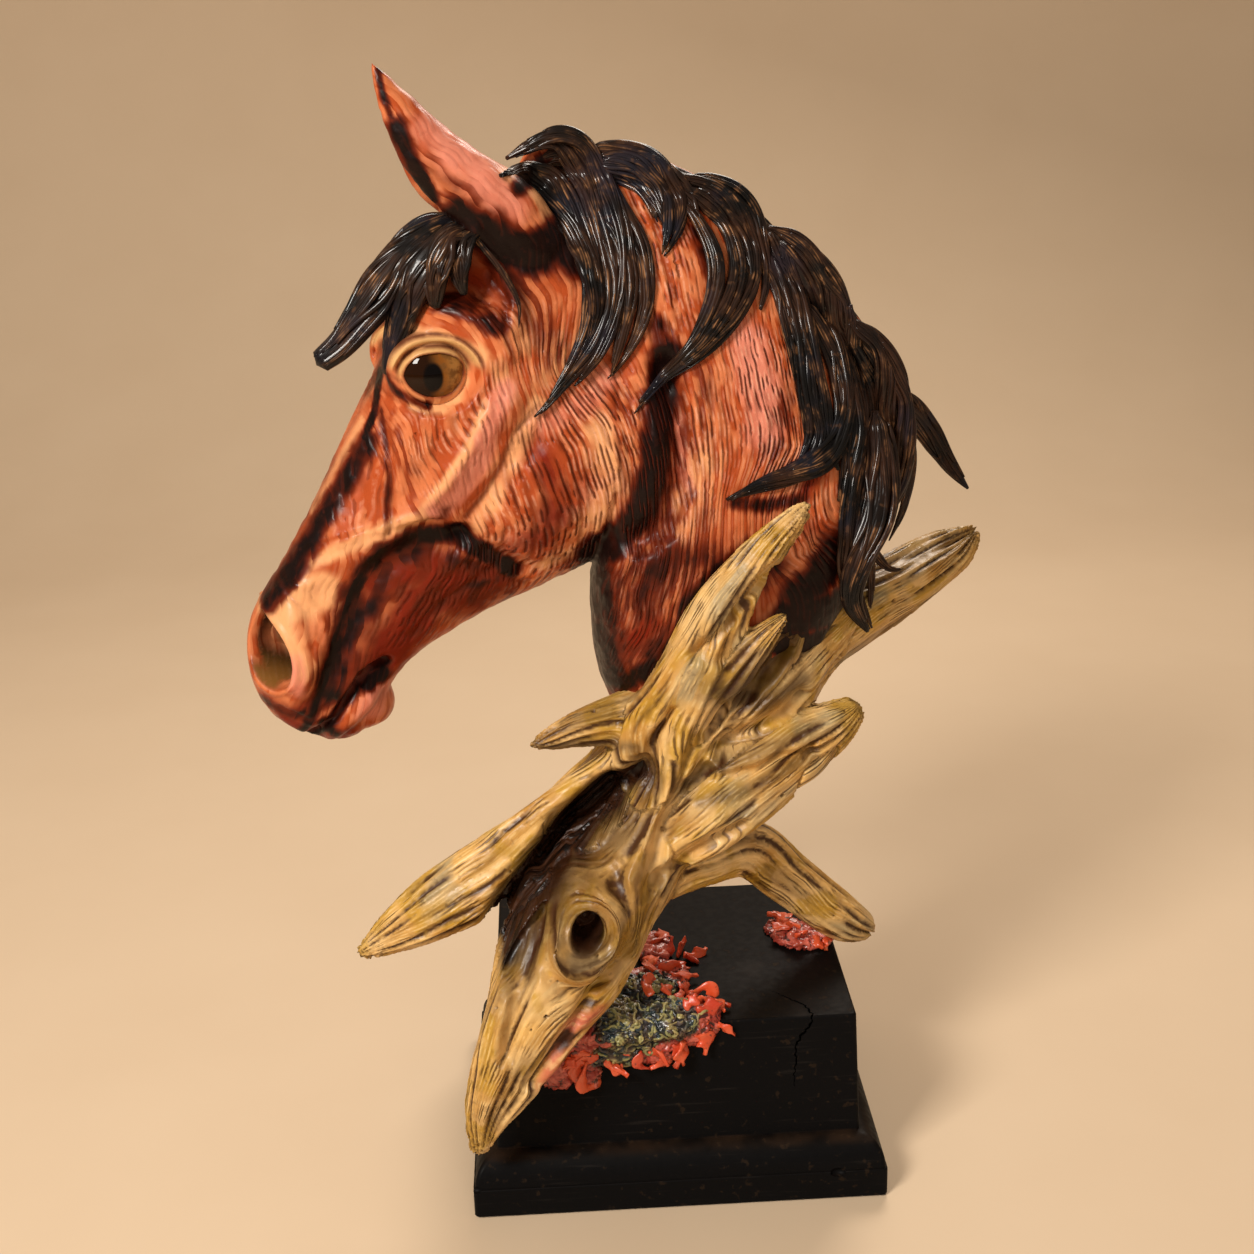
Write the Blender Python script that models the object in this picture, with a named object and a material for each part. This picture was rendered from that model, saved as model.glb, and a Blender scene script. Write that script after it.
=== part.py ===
"""Horse head sculpture: a cast resin bust of a horse rising out of driftwood, on a black moulded plinth.

The model is in metres, +Z up. The horse faces -X and shows its left side to -Y.
The origin is the centre of the plinth's underside.
"""

import math

import bmesh
import bpy
import numpy as np
from mathutils import Vector
from mathutils.bvhtree import BVHTree

MM = 0.001

# Plinth, in millimetres
PLINTH_WIDTH = 150.0
PLINTH_DEPTH = 124.0
SLAB_HEIGHT = 11.5
OVOLO_HEIGHT = 11.0
OVOLO_INSET = 9.0
BLOCK_HEIGHT = 47.5
BLOCK_TAPER = 1.5
STEP_INSET = 0.6
EDGE_ROUND = 1.0
CORNER_RADIUS = 1.6
OVOLO_STEPS = 5
CORNER_STEPS = 3

# Casting, in millimetres
FIGURE_HEIGHT = 327.5
CLEARANCE = 0.3
UNION_VOXEL = 1.9
CASTING_TRIANGLES = 8000

# The figure is drawn in thousandths of its height, from the block's top front left corner
UNIT = FIGURE_HEIGHT / 1000.0
BLOCK_TOP = SLAB_HEIGHT + OVOLO_HEIGHT + BLOCK_HEIGHT
CORNER = np.array([
    OVOLO_INSET + BLOCK_TAPER - PLINTH_WIDTH / 2,
    OVOLO_INSET + BLOCK_TAPER - PLINTH_DEPTH / 2,
    BLOCK_TOP,
])

# The head's middle plane turns about the poll towards the viewer
POLL = (111.0, 157.0)
HEAD_TURN = math.radians(12.0)

# Each head station: forehead side, jaw side (forward, up), half width, widest share, roundness of both sides
HEAD = (
    ((40, 850), (-110, 715), 78, 0.45, 2.2, 2.4),
    ((108, 836), (-104, 600), 90, 0.42, 2.3, 2.9),
    ((160, 776), (-68, 524), 98, 0.32, 2.6, 2.8),
    ((196, 706), (-24, 490), 96, 0.28, 2.7, 2.5),
    ((237, 637), (33, 464), 80, 0.32, 2.5, 2.1),
    ((270, 578), (92, 442), 64, 0.38, 2.3, 2.0),
    ((300, 529), (140, 420), 56, 0.42, 2.2, 2.0),
    ((326, 491), (177, 399), 54, 0.46, 2.2, 2.0),
    ((347, 459), (202, 378), 58, 0.44, 2.2, 2.1),
    ((358, 422), (222, 349), 58, 0.42, 2.2, 2.2),
    ((354, 381), (243, 320), 48, 0.45, 2.2, 2.2),
    ((336, 347), (270, 311), 28, 0.50, 2.0, 2.0),
)
# Each neck station: crest and throat (x, z), half width, widest share, roundness of both sides
NECK = (
    ((72, 850), (180, 640), 64, 0.50, 2.0, 2.0),
    ((112, 880), (166, 548), 68, 0.48, 1.9, 1.9),
    ((166, 880), (142, 502), 76, 0.50, 1.8, 1.9),
    ((232, 862), (126, 468), 90, 0.56, 1.7, 2.1),
    ((292, 820), (123, 432), 102, 0.60, 1.7, 2.3),
    ((350, 764), (125, 392), 110, 0.62, 1.8, 2.4),
    ((398, 690), (132, 350), 112, 0.60, 1.9, 2.4),
    ((428, 610), (152, 306), 108, 0.56, 2.0, 2.3),
    ((436, 536), (190, 272), 98, 0.52, 2.0, 2.2),
    ((412, 458), (250, 254), 80, 0.50, 2.0, 2.0),
)
# The crest that carries the mane, down the middle of the neck (x, z)
CREST = ((66, 874), (84, 898), (108, 908), (150, 897), (196, 890), (238, 870), (280, 846), (314, 810), (350, 782),
         (384, 746), (416, 706), (440, 664), (452, 626), (454, 586), (447, 546), (434, 512), (414, 482))
CREST_RADIUS = 23.0
# Ears, in the head's frame (forward, up, left): base, tip, half width
EARS = (
    ((72, 848, 46), (193, 1010, 54), 47.0),
    ((74, 846, -46), (158, 962, -62), 40.0),
)
# Half widths of an ear from below its base to its tip
EAR_OUTLINE = ((-0.25, 0.86), (0.0, 0.95), (0.16, 1.0), (0.34, 0.90), (0.52, 0.76), (0.70, 0.56), (0.85, 0.33),
               (0.95, 0.16), (1.0, 0.05))
# Eye: centre and half sizes (forward, up, left), and the opening of the lids around the centre
EYE_PLACE = (154.0, 706.0, 72.0)
EYE_SIZE = (32.0, 30.0, 20.0)
ORBIT_SIZE = (45.0, 41.0, 36.0)
LID_OPENING = ((29, 2), (24, 12), (14, 19), (-1, 21), (-14, 19), (-24, 13), (-29, 4), (-26, -7), (-19, -16),
               (-8, -21), (6, -21), (19, -15), (27, -6))
NOSTRIL_PLACE = (328.0, 432.0)
NOSTRIL_SIZE = (30.0, 48.0)

# Locks of the mane on the viewer's side: half width and points (x, z), from the crest down
NEAR_LOCKS = (
    (22, ((84, 898), (104, 898), (122, 870), (140, 828), (146, 785), (138, 747), (118, 720), (97, 692), (71, 661))),
    (17, ((112, 904), (134, 890), (156, 850), (172, 812), (178, 780), (172, 750), (158, 727), (149, 700))),
    (15, ((128, 898), (147, 863), (162, 822), (163, 785), (150, 752))),
    (18, ((140, 894), (176, 894), (204, 886), (220, 858), (218, 829), (207, 808))),
    (14, ((150, 892), (182, 878), (200, 856), (206, 828))),
    (18, ((210, 880), (242, 862), (264, 824), (268, 781), (255, 741), (231, 707), (201, 685), (171, 663))),
    (18, ((236, 868), (282, 848), (300, 824), (301, 792), (289, 755), (262, 730), (238, 710))),
    (20, ((288, 836), (312, 790), (333, 738), (356, 687), (367, 632), (346, 600), (309, 586), (264, 569))),
    (20, ((316, 812), (350, 776), (374, 738), (380, 694), (368, 648), (362, 612))),
    (20, ((348, 786), (380, 742), (388, 702), (381, 653), (389, 602), (402, 546))),
    (21, ((392, 740), (414, 700), (412, 656), (418, 598), (426, 542), (412, 500), (398, 468))),
    (20, ((424, 692), (442, 640), (446, 588), (440, 534), (420, 494), (398, 474))),
)
# Locks on the far side, plainer
FAR_LOCKS = (
    (24, ((100, 896), (128, 882), (148, 810), (134, 740), (100, 690))),
    (24, ((150, 892), (190, 870), (208, 790), (190, 710), (150, 664))),
    (24, ((212, 876), (256, 846), (272, 764), (256, 680), (220, 630))),
    (26, ((278, 842), (320, 796), (334, 710), (320, 630), (286, 570))),
    (26, ((336, 790), (376, 732), (388, 644), (370, 560), (340, 500))),
    (26, ((388, 738), (426, 660), (434, 576), (412, 494), (384, 440))),
)
# Free locks (x, y, z): the long one that hangs over the wood, and the tuft that flies off behind
FREE_LOCKS = (
    (22, ((424, 118, 640), (428, 104, 585), (420, 88, 534), (400, 74, 492), (393, 69, 452), (412, 73, 415))),
    (16, ((420, 180, 640), (470, 210, 628), (500, 226, 594), (524, 228, 556), (550, 226, 524))),
)
# Forelock, in the head's frame (forward, up, left)
FORELOCK = (
    (25, ((78, 836, 28), (106, 838, 30), (134, 834, 32), (162, 820, 33), (188, 798, 34), (212, 770, 35),
          (238, 742, 36), (266, 722, 36))),
    (19, ((88, 834, 44), (113, 836, 49), (138, 826, 52), (160, 806, 52), (176, 778, 52), (188, 744, 50),
          (199, 706, 48))),
    (13, ((98, 840, 62), (122, 838, 66), (138, 820, 72), (148, 794, 76), (150, 768, 78))),
    (7, ((104, 848, 70), (98, 828, 80), (80, 800, 92), (70, 775, 97), (72, 752, 98))),
    (19, ((88, 838, 8), (132, 834, 8), (170, 808, 10), (196, 768, 12), (206, 720, 14))),
    (19, ((84, 838, -22), (132, 834, -28), (168, 802, -34), (192, 756, -36), (198, 712, -34))),
)
LOCK_THICKNESS = 0.68

# Driftwood limbs: points (x, y, z, radius)
LIMBS = (
    # main trunk, from the root at the plinth's corner to the branch on the right
    ((-19, -56, -112, 9), (-7, -58, -57, 25), (17, -52, -3, 40), (44, -38, 48, 53), (80, -8, 96, 66),
     (122, 24, 142, 62), (165, 58, 186, 62), (203, 78, 240, 58), (241, 92, 293, 62), (292, 104, 348, 58),
     (349, 133, 388, 47), (410, 169, 406, 42), (476, 200, 426, 37), (533, 231, 448, 27), (567, 243, 470, 9)),
    # its left flank
    ((64, 40, 146, 26), (32, 36, 98, 22), (22, 0, 56, 24), (14, -32, 8, 25)),
    # spike up the neck, the short one beside it, and the fibres between that and the right branch
    ((191, 70, 312, 47), (222, 47, 390, 38), (257, 25, 468, 27), (294, 16, 522, 19), (327, 18, 558, 12),
     (341, 20, 574, 4)),
    ((222, 60, 329, 34), (263, 36, 393, 25), (298, 30, 432, 15), (321, 30, 454, 5)),
    ((257, 84, 304, 44), (306, 84, 356, 42), (352, 108, 390, 34), (400, 140, 412, 22)),
    # far side: the broad bed that the neck grows out of, and a plain spike up the neck
    ((130, 60, 190, 44), (190, 150, 285, 58), (262, 196, 322, 66), (340, 196, 372, 60), (410, 180, 408, 38)),
    ((232, 214, 318, 46), (262, 252, 396, 30), (296, 264, 462, 18), (330, 262, 520, 6)),
    # small branch under the throat, and the long one on the left
    ((204, 102, 322, 43), (149, 80, 326, 32), (106, 62, 325, 23), (74, 50, 318, 15), (54, 44, 313, 6)),
    ((172, 94, 266, 46), (84, 86, 208, 38), (26, 80, 166, 41), (-26, 73, 136, 38), (-77, 66, 108, 29),
     (-116, 60, 89, 18), (-147, 53, 74, 6)),
    # branch on the right, with the broken knob under its end
    ((180, 38, 192, 45), (230, 42, 227, 47), (285, 54, 262, 42), (334, 66, 291, 34), (373, 76, 309, 27),
     (402, 82, 327, 13)),
    ((312, 60, 262, 26), (346, 58, 274, 20), (370, 62, 288, 12)),
    # bent leg that stands on the plinth
    ((160, 50, 150, 34), (232, 78, 156, 26), (286, 106, 156, 30), (332, 127, 111, 30), (374, 142, 65, 27),
     (409, 151, 31, 23), (434, 157, 15, 15)),
)
# Red blossom and moss heaped where the wood meets the plinth: centre and half sizes
MOSS = (
    ((84, 4, -12), (38, 24, 34)),
    ((66, -8, -40), (22, 14, 28)),
    ((98, -6, -52), (15, 12, 20)),
    ((128, 6, 2), (56, 36, 20)),
    ((132, -3, -22), (44, 13, 24)),
    ((180, 8, 2), (46, 34, 17)),
    ((176, -3, -22), (28, 12, 26)),
    ((212, 4, -4), (32, 18, 22)),
    ((232, 20, 3), (16, 22, 9)),
    ((160, 56, 10), (44, 34, 20)),
    ((196, 90, 5), (22, 34, 10)),
    ((182, 150, 6), (20, 34, 11)),
    ((360, 168, 8), (42, 34, 16)),
    ((340, 196, 4), (28, 26, 8)),
)
# Carving of the wood's near side: a line (x, z), its reach, and how far it lifts the surface
WOOD_CARVING = (
    # the split between the long branch and the trunk, widest near its top
    (((168, 274), (130, 242), (94, 206), (58, 170), (32, 138), (16, 112)), 32, -52),
    (((134, 238), (112, 222), (94, 204)), 42, -44),
    # grooves between the spikes, and the shadowed hollow under them
    (((228, 421), (250, 448), (272, 477), (288, 496), (303, 506)), 15, -17),
    (((235, 320), (255, 352), (284, 369), (307, 387), (322, 406)), 15, -15),
    (((254, 303), (294, 320), (320, 336), (337, 351)), 18, -16),
    # grooves of the right branch, of the leg's root and of the trunk
    (((218, 264), (249, 273), (283, 281), (322, 291), (346, 296)), 13, -13),
    (((174, 172), (182, 208), (193, 232), (212, 258), (235, 281)), 14, -16),
    (((201, 357), (184, 327), (174, 290), (164, 267)), 10, -11),
    (((171, 162), (204, 187), (238, 211), (270, 224)), 13, -15),
    (((128, 96), (104, 73), (73, 32), (40, -16)), 14, -14),
    (((66, 172), (61, 154), (49, 129), (37, 100), (25, 63), (14, 21)), 15, -16),
    # pale ridge that runs up the middle
    (((161, 60), (156, 129), (150, 183), (168, 227), (191, 268), (219, 339), (248, 400)), 17, 10),
)
# Knot hole on the trunk (x, z), its depth, and the ring of wood round it
KNOT = (104.0, 140.0)
KNOT_DEPTH = 54.0
KNOT_HOLE = 27.0
KNOT_RING = 36.0
KNOT_RIM = 15.0

RING_POINTS = 28
TUBE_POINTS = 14


def place(points):
    """Figure units to millimetres in the model's frame."""
    return np.asarray(points, float) * UNIT + CORNER


def head_to_figure(points):
    """(forward, up, left) in the head's frame to the figure's x, y, z."""
    forward, up, left = np.asarray(points, float).T
    x = POLL[0] - forward * math.cos(HEAD_TURN) + left * math.sin(HEAD_TURN)
    y = POLL[1] - forward * math.sin(HEAD_TURN) - left * math.cos(HEAD_TURN)
    return np.stack([x, y, up], axis=1)


def figure_to_head(points):
    """The figure's x, y, z to (forward, up, left) in the head's frame."""
    dx = POLL[0] - points[:, 0]
    dy = POLL[1] - points[:, 1]
    forward = dx * math.cos(HEAD_TURN) + dy * math.sin(HEAD_TURN)
    left = dy * math.cos(HEAD_TURN) - dx * math.sin(HEAD_TURN)
    return np.stack([forward, points[:, 2], left], axis=1)


def smooth_rows(rows, steps):
    """Catmull-Rom through rows of numbers, with steps points for each span."""
    rows = np.asarray(rows, float)
    padded = np.vstack([2 * rows[0] - rows[1], rows, 2 * rows[-1] - rows[-2]])
    made = []
    for a, b, c, d in zip(padded, padded[1:], padded[2:], padded[3:]):
        for t in np.linspace(0.0, 1.0, steps, endpoint=False):
            made.append(0.5 * (2 * b + (c - a) * t + (2 * a - 5 * b + 4 * c - d) * t**2
                               + (3 * b - a - 3 * c + d) * t**3))
    made.append(rows[-1])
    return np.array(made)


def skin_of_rings(rings, first, last):
    """Vertices and faces of a closed skin over equal rings, with an end point beyond each."""
    count = len(rings[0])
    points = [first, *np.concatenate(rings), last]
    faces = []
    for row in range(len(rings) - 1):
        for k in range(count):
            a = 1 + row * count + k
            b = 1 + row * count + (k + 1) % count
            faces.append((a, b, b + count, a + count))
    end = len(points) - 1
    for k in range(count):
        faces.append((0, 1 + (k + 1) % count, 1 + k))
        faces.append((end, end - count + k, end - count + (k + 1) % count))
    return np.array(points), faces


def body_loft(stations, to_figure):
    """A closed body through stations that each give two profile points, a half width and two roundnesses."""
    rows = [[*top, *low, width, widest, round_top, round_low]
            for top, low, width, widest, round_top, round_low in stations]
    rings = []
    for x0, z0, x1, z1, width, widest, round_top, round_low in smooth_rows(rows, 4):
        ring = []
        for angle in np.linspace(0, 2 * math.pi, RING_POINTS, endpoint=False):
            rise, side = math.cos(angle), math.sin(angle)
            power = 2 / (round_top if rise >= 0 else round_low)
            if rise >= 0:
                share = widest * (1 - rise**power)
            else:
                share = widest + (1 - widest) * (-rise)**power
            reach = math.copysign(width * abs(side)**power, side)
            ring.append((x0 + (x1 - x0) * share, z0 + (z1 - z0) * share, reach))
        rings.append(to_figure(ring))
    first, last = rings[0].mean(axis=0), rings[-1].mean(axis=0)
    return skin_of_rings(rings, first, last)


def neck_to_figure(points):
    x, z, left = np.asarray(points, float).T
    return np.stack([x, POLL[1] - left, z], axis=1)


def frames_along(path):
    """Unit tangents of a path, and for each a direction across it that turns as little as it can."""
    tangents = np.gradient(path, axis=0)
    tangents /= np.linalg.norm(tangents, axis=1)[:, None]
    across = np.cross(tangents[0], (0.0, 1.0, 0.1))
    frames = []
    for tangent in tangents:
        across = across - tangent * (across @ tangent)
        across /= np.linalg.norm(across)
        frames.append(across)
    return tangents, np.array(frames)


def tube(path, wide, thick, outward=None, lobes=0.0):
    """A closed tube of elliptical section. outward, where given, is the direction of its thin side at each point."""
    tangents, across = frames_along(path)
    if outward is not None:
        across = np.cross(tangents, outward)
        across /= np.linalg.norm(across, axis=1)[:, None]
    other = np.cross(tangents, across)
    rings = []
    for k, centre in enumerate(path):
        angle = np.linspace(0, 2 * math.pi, TUBE_POINTS, endpoint=False)
        swell = 1 + lobes * np.cos(3 * angle + 0.35 * k)
        ring = (centre + np.outer(np.cos(angle) * swell * wide[k], across[k])
                + np.outer(np.sin(angle) * swell * thick[k], other[k]))
        rings.append(ring)
    first = path[0] - tangents[0] * wide[0] * 0.5
    last = path[-1] + tangents[-1] * wide[-1] * 0.5
    return skin_of_rings(rings, first, last)


def limb(points):
    """A branch of driftwood through points (x, y, z, radius)."""
    rows = smooth_rows(points, 4)
    return tube(rows[:, :3], rows[:, 3], rows[:, 3] * 0.9, lobes=0.1)


def lock_widths(count, half_width):
    """A lock is slim at its root, full in the middle and ends in a point."""
    share = np.linspace(0, 1, count)
    return half_width * np.clip(0.62 + 1.1 * share * (1 - share) - 0.5 * share**4, 0.12, None)


def lock(points, half_width, outward):
    path = smooth_rows(points, 3)
    wide = lock_widths(len(path), half_width)
    return tube(path, wide, wide * LOCK_THICKNESS, outward=outward)


def blob(centre, half_sizes):
    """A closed ellipsoid."""
    mesh = bmesh.new()
    bmesh.ops.create_icosphere(mesh, subdivisions=3, radius=1.0)
    points = np.array([v.co for v in mesh.verts]) * half_sizes + centre
    faces = [tuple(v.index for v in face.verts) for face in mesh.faces]
    mesh.free()
    return points, faces


def head_blob(side, outwards, sizes):
    """An ellipsoid on the eye's place, with its axes along the head's frame."""
    forward, up, left = EYE_PLACE
    points, faces = blob((0, 0, 0), sizes)
    points = points * (1, 1, side) + (forward, up, side * left * outwards)
    return head_to_figure(points), faces


def ear(base, tip, half_width):
    """A leaf-shaped ear, hollow on the side that faces forward and out."""
    base, tip = np.array(base, float), np.array(tip, float)
    side = math.copysign(1.0, base[2])
    axis = tip - base
    opening = np.array([0.95, 0.20, -0.12 * side])
    opening -= axis * (opening @ axis) / (axis @ axis)
    opening /= np.linalg.norm(opening)
    across = np.cross(axis, opening) / np.linalg.norm(axis)
    rings = []
    for share, width in EAR_OUTLINE:
        width *= half_width
        angle = np.linspace(0, 2 * math.pi, TUBE_POINTS + 6, endpoint=False)
        dent = 0.95 * np.clip(share * 6, 0, 1) * np.exp(-(np.sin(angle / 2) / 0.36) ** 2)
        radius = width * (1 - dent)
        centre = base + axis * share
        ring = centre + np.outer(np.cos(angle) * radius, opening) + np.outer(np.sin(angle) * radius * 0.8, across)
        rings.append(head_to_figure(ring))
    ends = head_to_figure([base - axis * 0.3, tip + axis * 0.01])
    return skin_of_rings(rings, ends[0], ends[1])


def outward_of(points, faces):
    """Turns the faces round if the closed shape is inside out."""
    volume = 0.0
    for face in faces:
        for k in range(1, len(face) - 1):
            volume += np.dot(points[face[0]], np.cross(points[face[k]], points[face[k + 1]]))
    return faces if volume > 0 else [tuple(reversed(face)) for face in faces]


def joined(shapes):
    """Several closed shapes as one list of points and faces."""
    points, faces, start = [], [], 0
    for shape_points, shape_faces in shapes:
        shape_points = np.asarray(shape_points, float)
        shape_faces = outward_of(shape_points, shape_faces)
        points.append(shape_points)
        faces += [tuple(i + start for i in face) for face in shape_faces]
        start += len(shape_points)
    return np.concatenate(points), faces


def mesh_object(name, points, faces):
    """A new object from points in millimetres."""
    mesh = bpy.data.meshes.new(name)
    mesh.from_pydata((np.asarray(points) * MM).tolist(), [], faces)
    mesh.update()
    made = bpy.data.objects.new(name, mesh)
    bpy.context.scene.collection.objects.link(made)
    return made


def apply_modifiers(made):
    """Makes the evaluated mesh the object's own."""
    graph = bpy.context.evaluated_depsgraph_get()
    mesh = bpy.data.meshes.new_from_object(made.evaluated_get(graph))
    made.modifiers.clear()
    made.data = mesh


def fuse(made, voxel, smoothing):
    """Voxel remesh, which joins what overlaps, then a light smoothing of the seams."""
    remesh = made.modifiers.new("Fuse", "REMESH")
    remesh.mode = "VOXEL"
    remesh.voxel_size = voxel * MM
    smooth = made.modifiers.new("Ease", "SMOOTH")
    smooth.factor = 0.5
    smooth.iterations = smoothing
    apply_modifiers(made)


def keep_outer_shell(made):
    """Drops loose shells, such as the walls of closed hollows, and keeps the one with the most points."""
    mesh = bmesh.new()
    mesh.from_mesh(made.data)
    unseen = set(mesh.verts)
    shells = []
    while unseen:
        shell = [unseen.pop()]
        for vertex in shell:
            for edge in vertex.link_edges:
                other = edge.other_vert(vertex)
                if other in unseen:
                    unseen.remove(other)
                    shell.append(other)
        shells.append(shell)
    shells.sort(key=len)
    for shell in shells[:-1]:
        bmesh.ops.delete(mesh, geom=shell, context="VERTS")
    mesh.to_mesh(made.data)
    mesh.free()


def numbers_of(mesh):
    """Vertex places in figure units, and vertex normals."""
    places = np.empty(len(mesh.vertices) * 3)
    mesh.vertices.foreach_get("co", places)
    normals = np.array([n.vector for n in mesh.vertex_normals])
    return (places.reshape(-1, 3) / MM - CORNER) / UNIT, normals


def write_places(mesh, places):
    mesh.vertices.foreach_set("co", (place(places) * MM).ravel())
    mesh.update()


def near_line(places, line):
    """Distance of 2-D places from a polyline, and how far along it each one is, from 0 to 1."""
    line = np.asarray(line, float)
    best = np.full(len(places), 1e9)
    along = np.zeros(len(places))
    spans = len(line) - 1
    for k, (start, end) in enumerate(zip(line, line[1:])):
        span = end - start
        share = np.clip(((places - start) @ span) / (span @ span), 0, 1)
        gap = np.linalg.norm(places - start - share[:, None] * span, axis=1)
        closer = gap < best
        best = np.where(closer, gap, best)
        along = np.where(closer, (k + share) / spans, along)
    return best, along


def fade(gap, reach):
    """1 on the line, falling smoothly to 0 at reach."""
    share = np.clip(1 - gap / reach, 0, 1)
    return share * share * (3 - 2 * share)


# Carving of the head, in the head's side view: a line (forward, up), its reach, and how far it lifts the surface
HEAD_CARVING = (
    # cheek: a raised disc with a groove behind it
    (((50, 580), (10, 602), (-16, 640)), 84, 16),
    (((-72, 700), (-84, 645), (-80, 592), (-62, 546), (-16, 508)), 24, -18),
    # bony ridge below the eye, the band beside it and the groove between that and the cheek
    (((85, 680), (112, 650), (151, 599), (173, 574), (200, 560)), 26, 9),
    (((60, 640), (94, 606), (116, 575), (133, 548)), 20, -7),
    # brow above the eye, hollow of the temple, ridge behind it
    (((184, 752), (159, 766), (130, 768), (101, 754), (86, 730)), 24, 13),
    (((130, 800), (102, 790)), 34, -10),
    (((107, 840), (84, 812), (70, 781), (76, 752)), 16, 6),
    # dip in front of the eye and along the side of the nose
    (((205, 690), (222, 640), (246, 590)), 30, -7),
    (((202, 552), (246, 530), (286, 508), (306, 484)), 24, 6),
    # dark line from the ridge's end to the jaw, and the valley down to the lips
    (((196, 556), (167, 556), (143, 546), (109, 520), (66, 492)), 18, -7),
    (((138, 536), (190, 528), (228, 498), (252, 456), (270, 412), (292, 372)), 24, -9),
    # nostril wing, mouth, lower lip and chin
    (((308, 462), (300, 432), (306, 398)), 26, 8),
    (((296, 326), (277, 352), (259, 366), (243, 382), (219, 400)), 15, -13),
    (((284, 336), (264, 350), (242, 364)), 22, 7),
)


def carve_head(places, normals):
    """Lifts and sinks the sides of the head along its features."""
    head = figure_to_head(places)
    side = normals @ np.array([math.sin(HEAD_TURN), -math.cos(HEAD_TURN), 0.0])
    facing = np.clip(np.abs(side) * 1.6 - 0.15, 0, 1) * (head[:, 0] > -110)
    lift = np.zeros(len(places))
    for line, reach, height in HEAD_CARVING:
        gap, _ = near_line(head[:, :2], line)
        lift += height * fade(gap, reach)
    places = places + normals * (lift * facing)[:, None]
    # nostrils, sunk towards the middle and back
    gap = np.hypot((head[:, 0] - NOSTRIL_PLACE[0]) / NOSTRIL_SIZE[0], (head[:, 1] - NOSTRIL_PLACE[1]) / NOSTRIL_SIZE[1])
    sink = 46 * fade(gap, 1.0) * (np.abs(head[:, 2]) > 14)
    towards = np.stack([np.full(len(head), -0.75), np.full(len(head), 0.1), -0.65 * np.sign(head[:, 2])], axis=1)
    moved = figure_to_head(places) + towards * sink[:, None]
    return head_to_figure(moved)


def carve_wood(places, normals):
    """Opens the split, the grooves and the knot hole in the side that faces the viewer."""
    flat = places[:, [0, 2]]
    front = np.clip(-normals[:, 1] * 2, 0, 1) * (places[:, 1] < 110)
    lift = np.zeros(len(places))
    for line, reach, height in WOOD_CARVING:
        gap, _ = near_line(flat, line)
        lift += height * fade(gap, reach)
    gap = np.linalg.norm(flat - KNOT, axis=1)
    lift += KNOT_RIM * fade(np.abs(gap - KNOT_RING), 15) - KNOT_DEPTH * fade(gap, KNOT_HOLE)
    moved = places.copy()
    moved[:, 1] -= lift * front
    return moved


def skin_hit(skin, x, z, side):
    """Where a line across the body first meets the skin, from the viewer's side (-1) or the far side (1)."""
    start = Vector(place([x, POLL[1] + side * 400, z]) * MM)
    hit, normal, _, _ = skin.ray_cast(start, Vector((0, -side, 0)))
    return hit, normal


def draped_lock(skin, points, half_width, side):
    """A lock whose points (x, z) are laid on the skin, from the crest down."""
    flat = smooth_rows(points, 3)
    path, outward = [], []
    for x, z in flat:
        hit, normal = skin_hit(skin, x, z, side)
        if hit is None:
            y = path[-1][1] if path else POLL[1] + side * 20
            out = np.array([0.3, side, 0.3])
        else:
            found = (np.array(hit) / MM - CORNER) / UNIT
            y = found[1] + side * half_width * LOCK_THICKNESS * 0.6
            out = np.array(normal)
        path.append((x, y, z))
        outward.append(out / np.linalg.norm(out))
    path, outward = np.array(path), np.array(outward)
    for _ in range(3):
        path[1:-1] = (path[:-2] + 2 * path[1:-1] + path[2:]) / 4
        outward[1:-1] = (outward[:-2] + 2 * outward[1:-1] + outward[2:]) / 4
    wide = lock_widths(len(path), half_width)
    return tube(path, wide, wide * LOCK_THICKNESS, outward=outward)


def build_skin():
    """The horse's head and neck without its hair."""
    shapes = [body_loft(HEAD, head_to_figure), body_loft(NECK, neck_to_figure)]
    shapes += [ear(*one) for one in EARS]
    chin = head_to_figure([(240, 350, 0)])[0]
    shapes.append(blob(chin, (34, 31, 30)))
    for side in (1, -1):
        shapes.append(head_blob(side, 0.88, ORBIT_SIZE))
    ridge = smooth_rows([(x, POLL[1], z) for x, z in CREST], 4)
    full = np.full(len(ridge), CREST_RADIUS)
    shapes.append(tube(ridge, full, full))
    points, faces = joined(shapes)
    skin = mesh_object("skin", place(points), faces)
    fuse(skin, UNION_VOXEL, 6)
    places, normals = numbers_of(skin.data)
    write_places(skin.data, carve_head(places, normals))
    return skin


def build_hair(skin):
    """Mane and forelock, laid on the skin."""
    tree = BVHTree.FromObject(skin, bpy.context.evaluated_depsgraph_get())
    shapes = [draped_lock(tree, points, width, -1) for width, points in NEAR_LOCKS]
    shapes += [draped_lock(tree, points, width, 1) for width, points in FAR_LOCKS]
    for width, points in FREE_LOCKS:
        shapes.append(lock(points, width, np.array([0.3, -1.0, 0.2])))
    for width, points in FORELOCK:
        path = head_to_figure(points)
        shapes.append(lock(path, width, np.array([-0.5, -0.7, 0.5])))
    return shapes


def build_wood():
    """The driftwood and the blossom heaped at its feet, as one carved shape."""
    points, faces = joined([limb(points) for points in LIMBS])
    wood = mesh_object("wood", place(points), faces)
    fuse(wood, UNION_VOXEL, 3)
    places, normals = numbers_of(wood.data)
    write_places(wood.data, carve_wood(places, normals))
    return wood


def points_and_faces(made):
    places, _ = numbers_of(made.data)
    return places, [tuple(face.vertices) for face in made.data.polygons]


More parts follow.
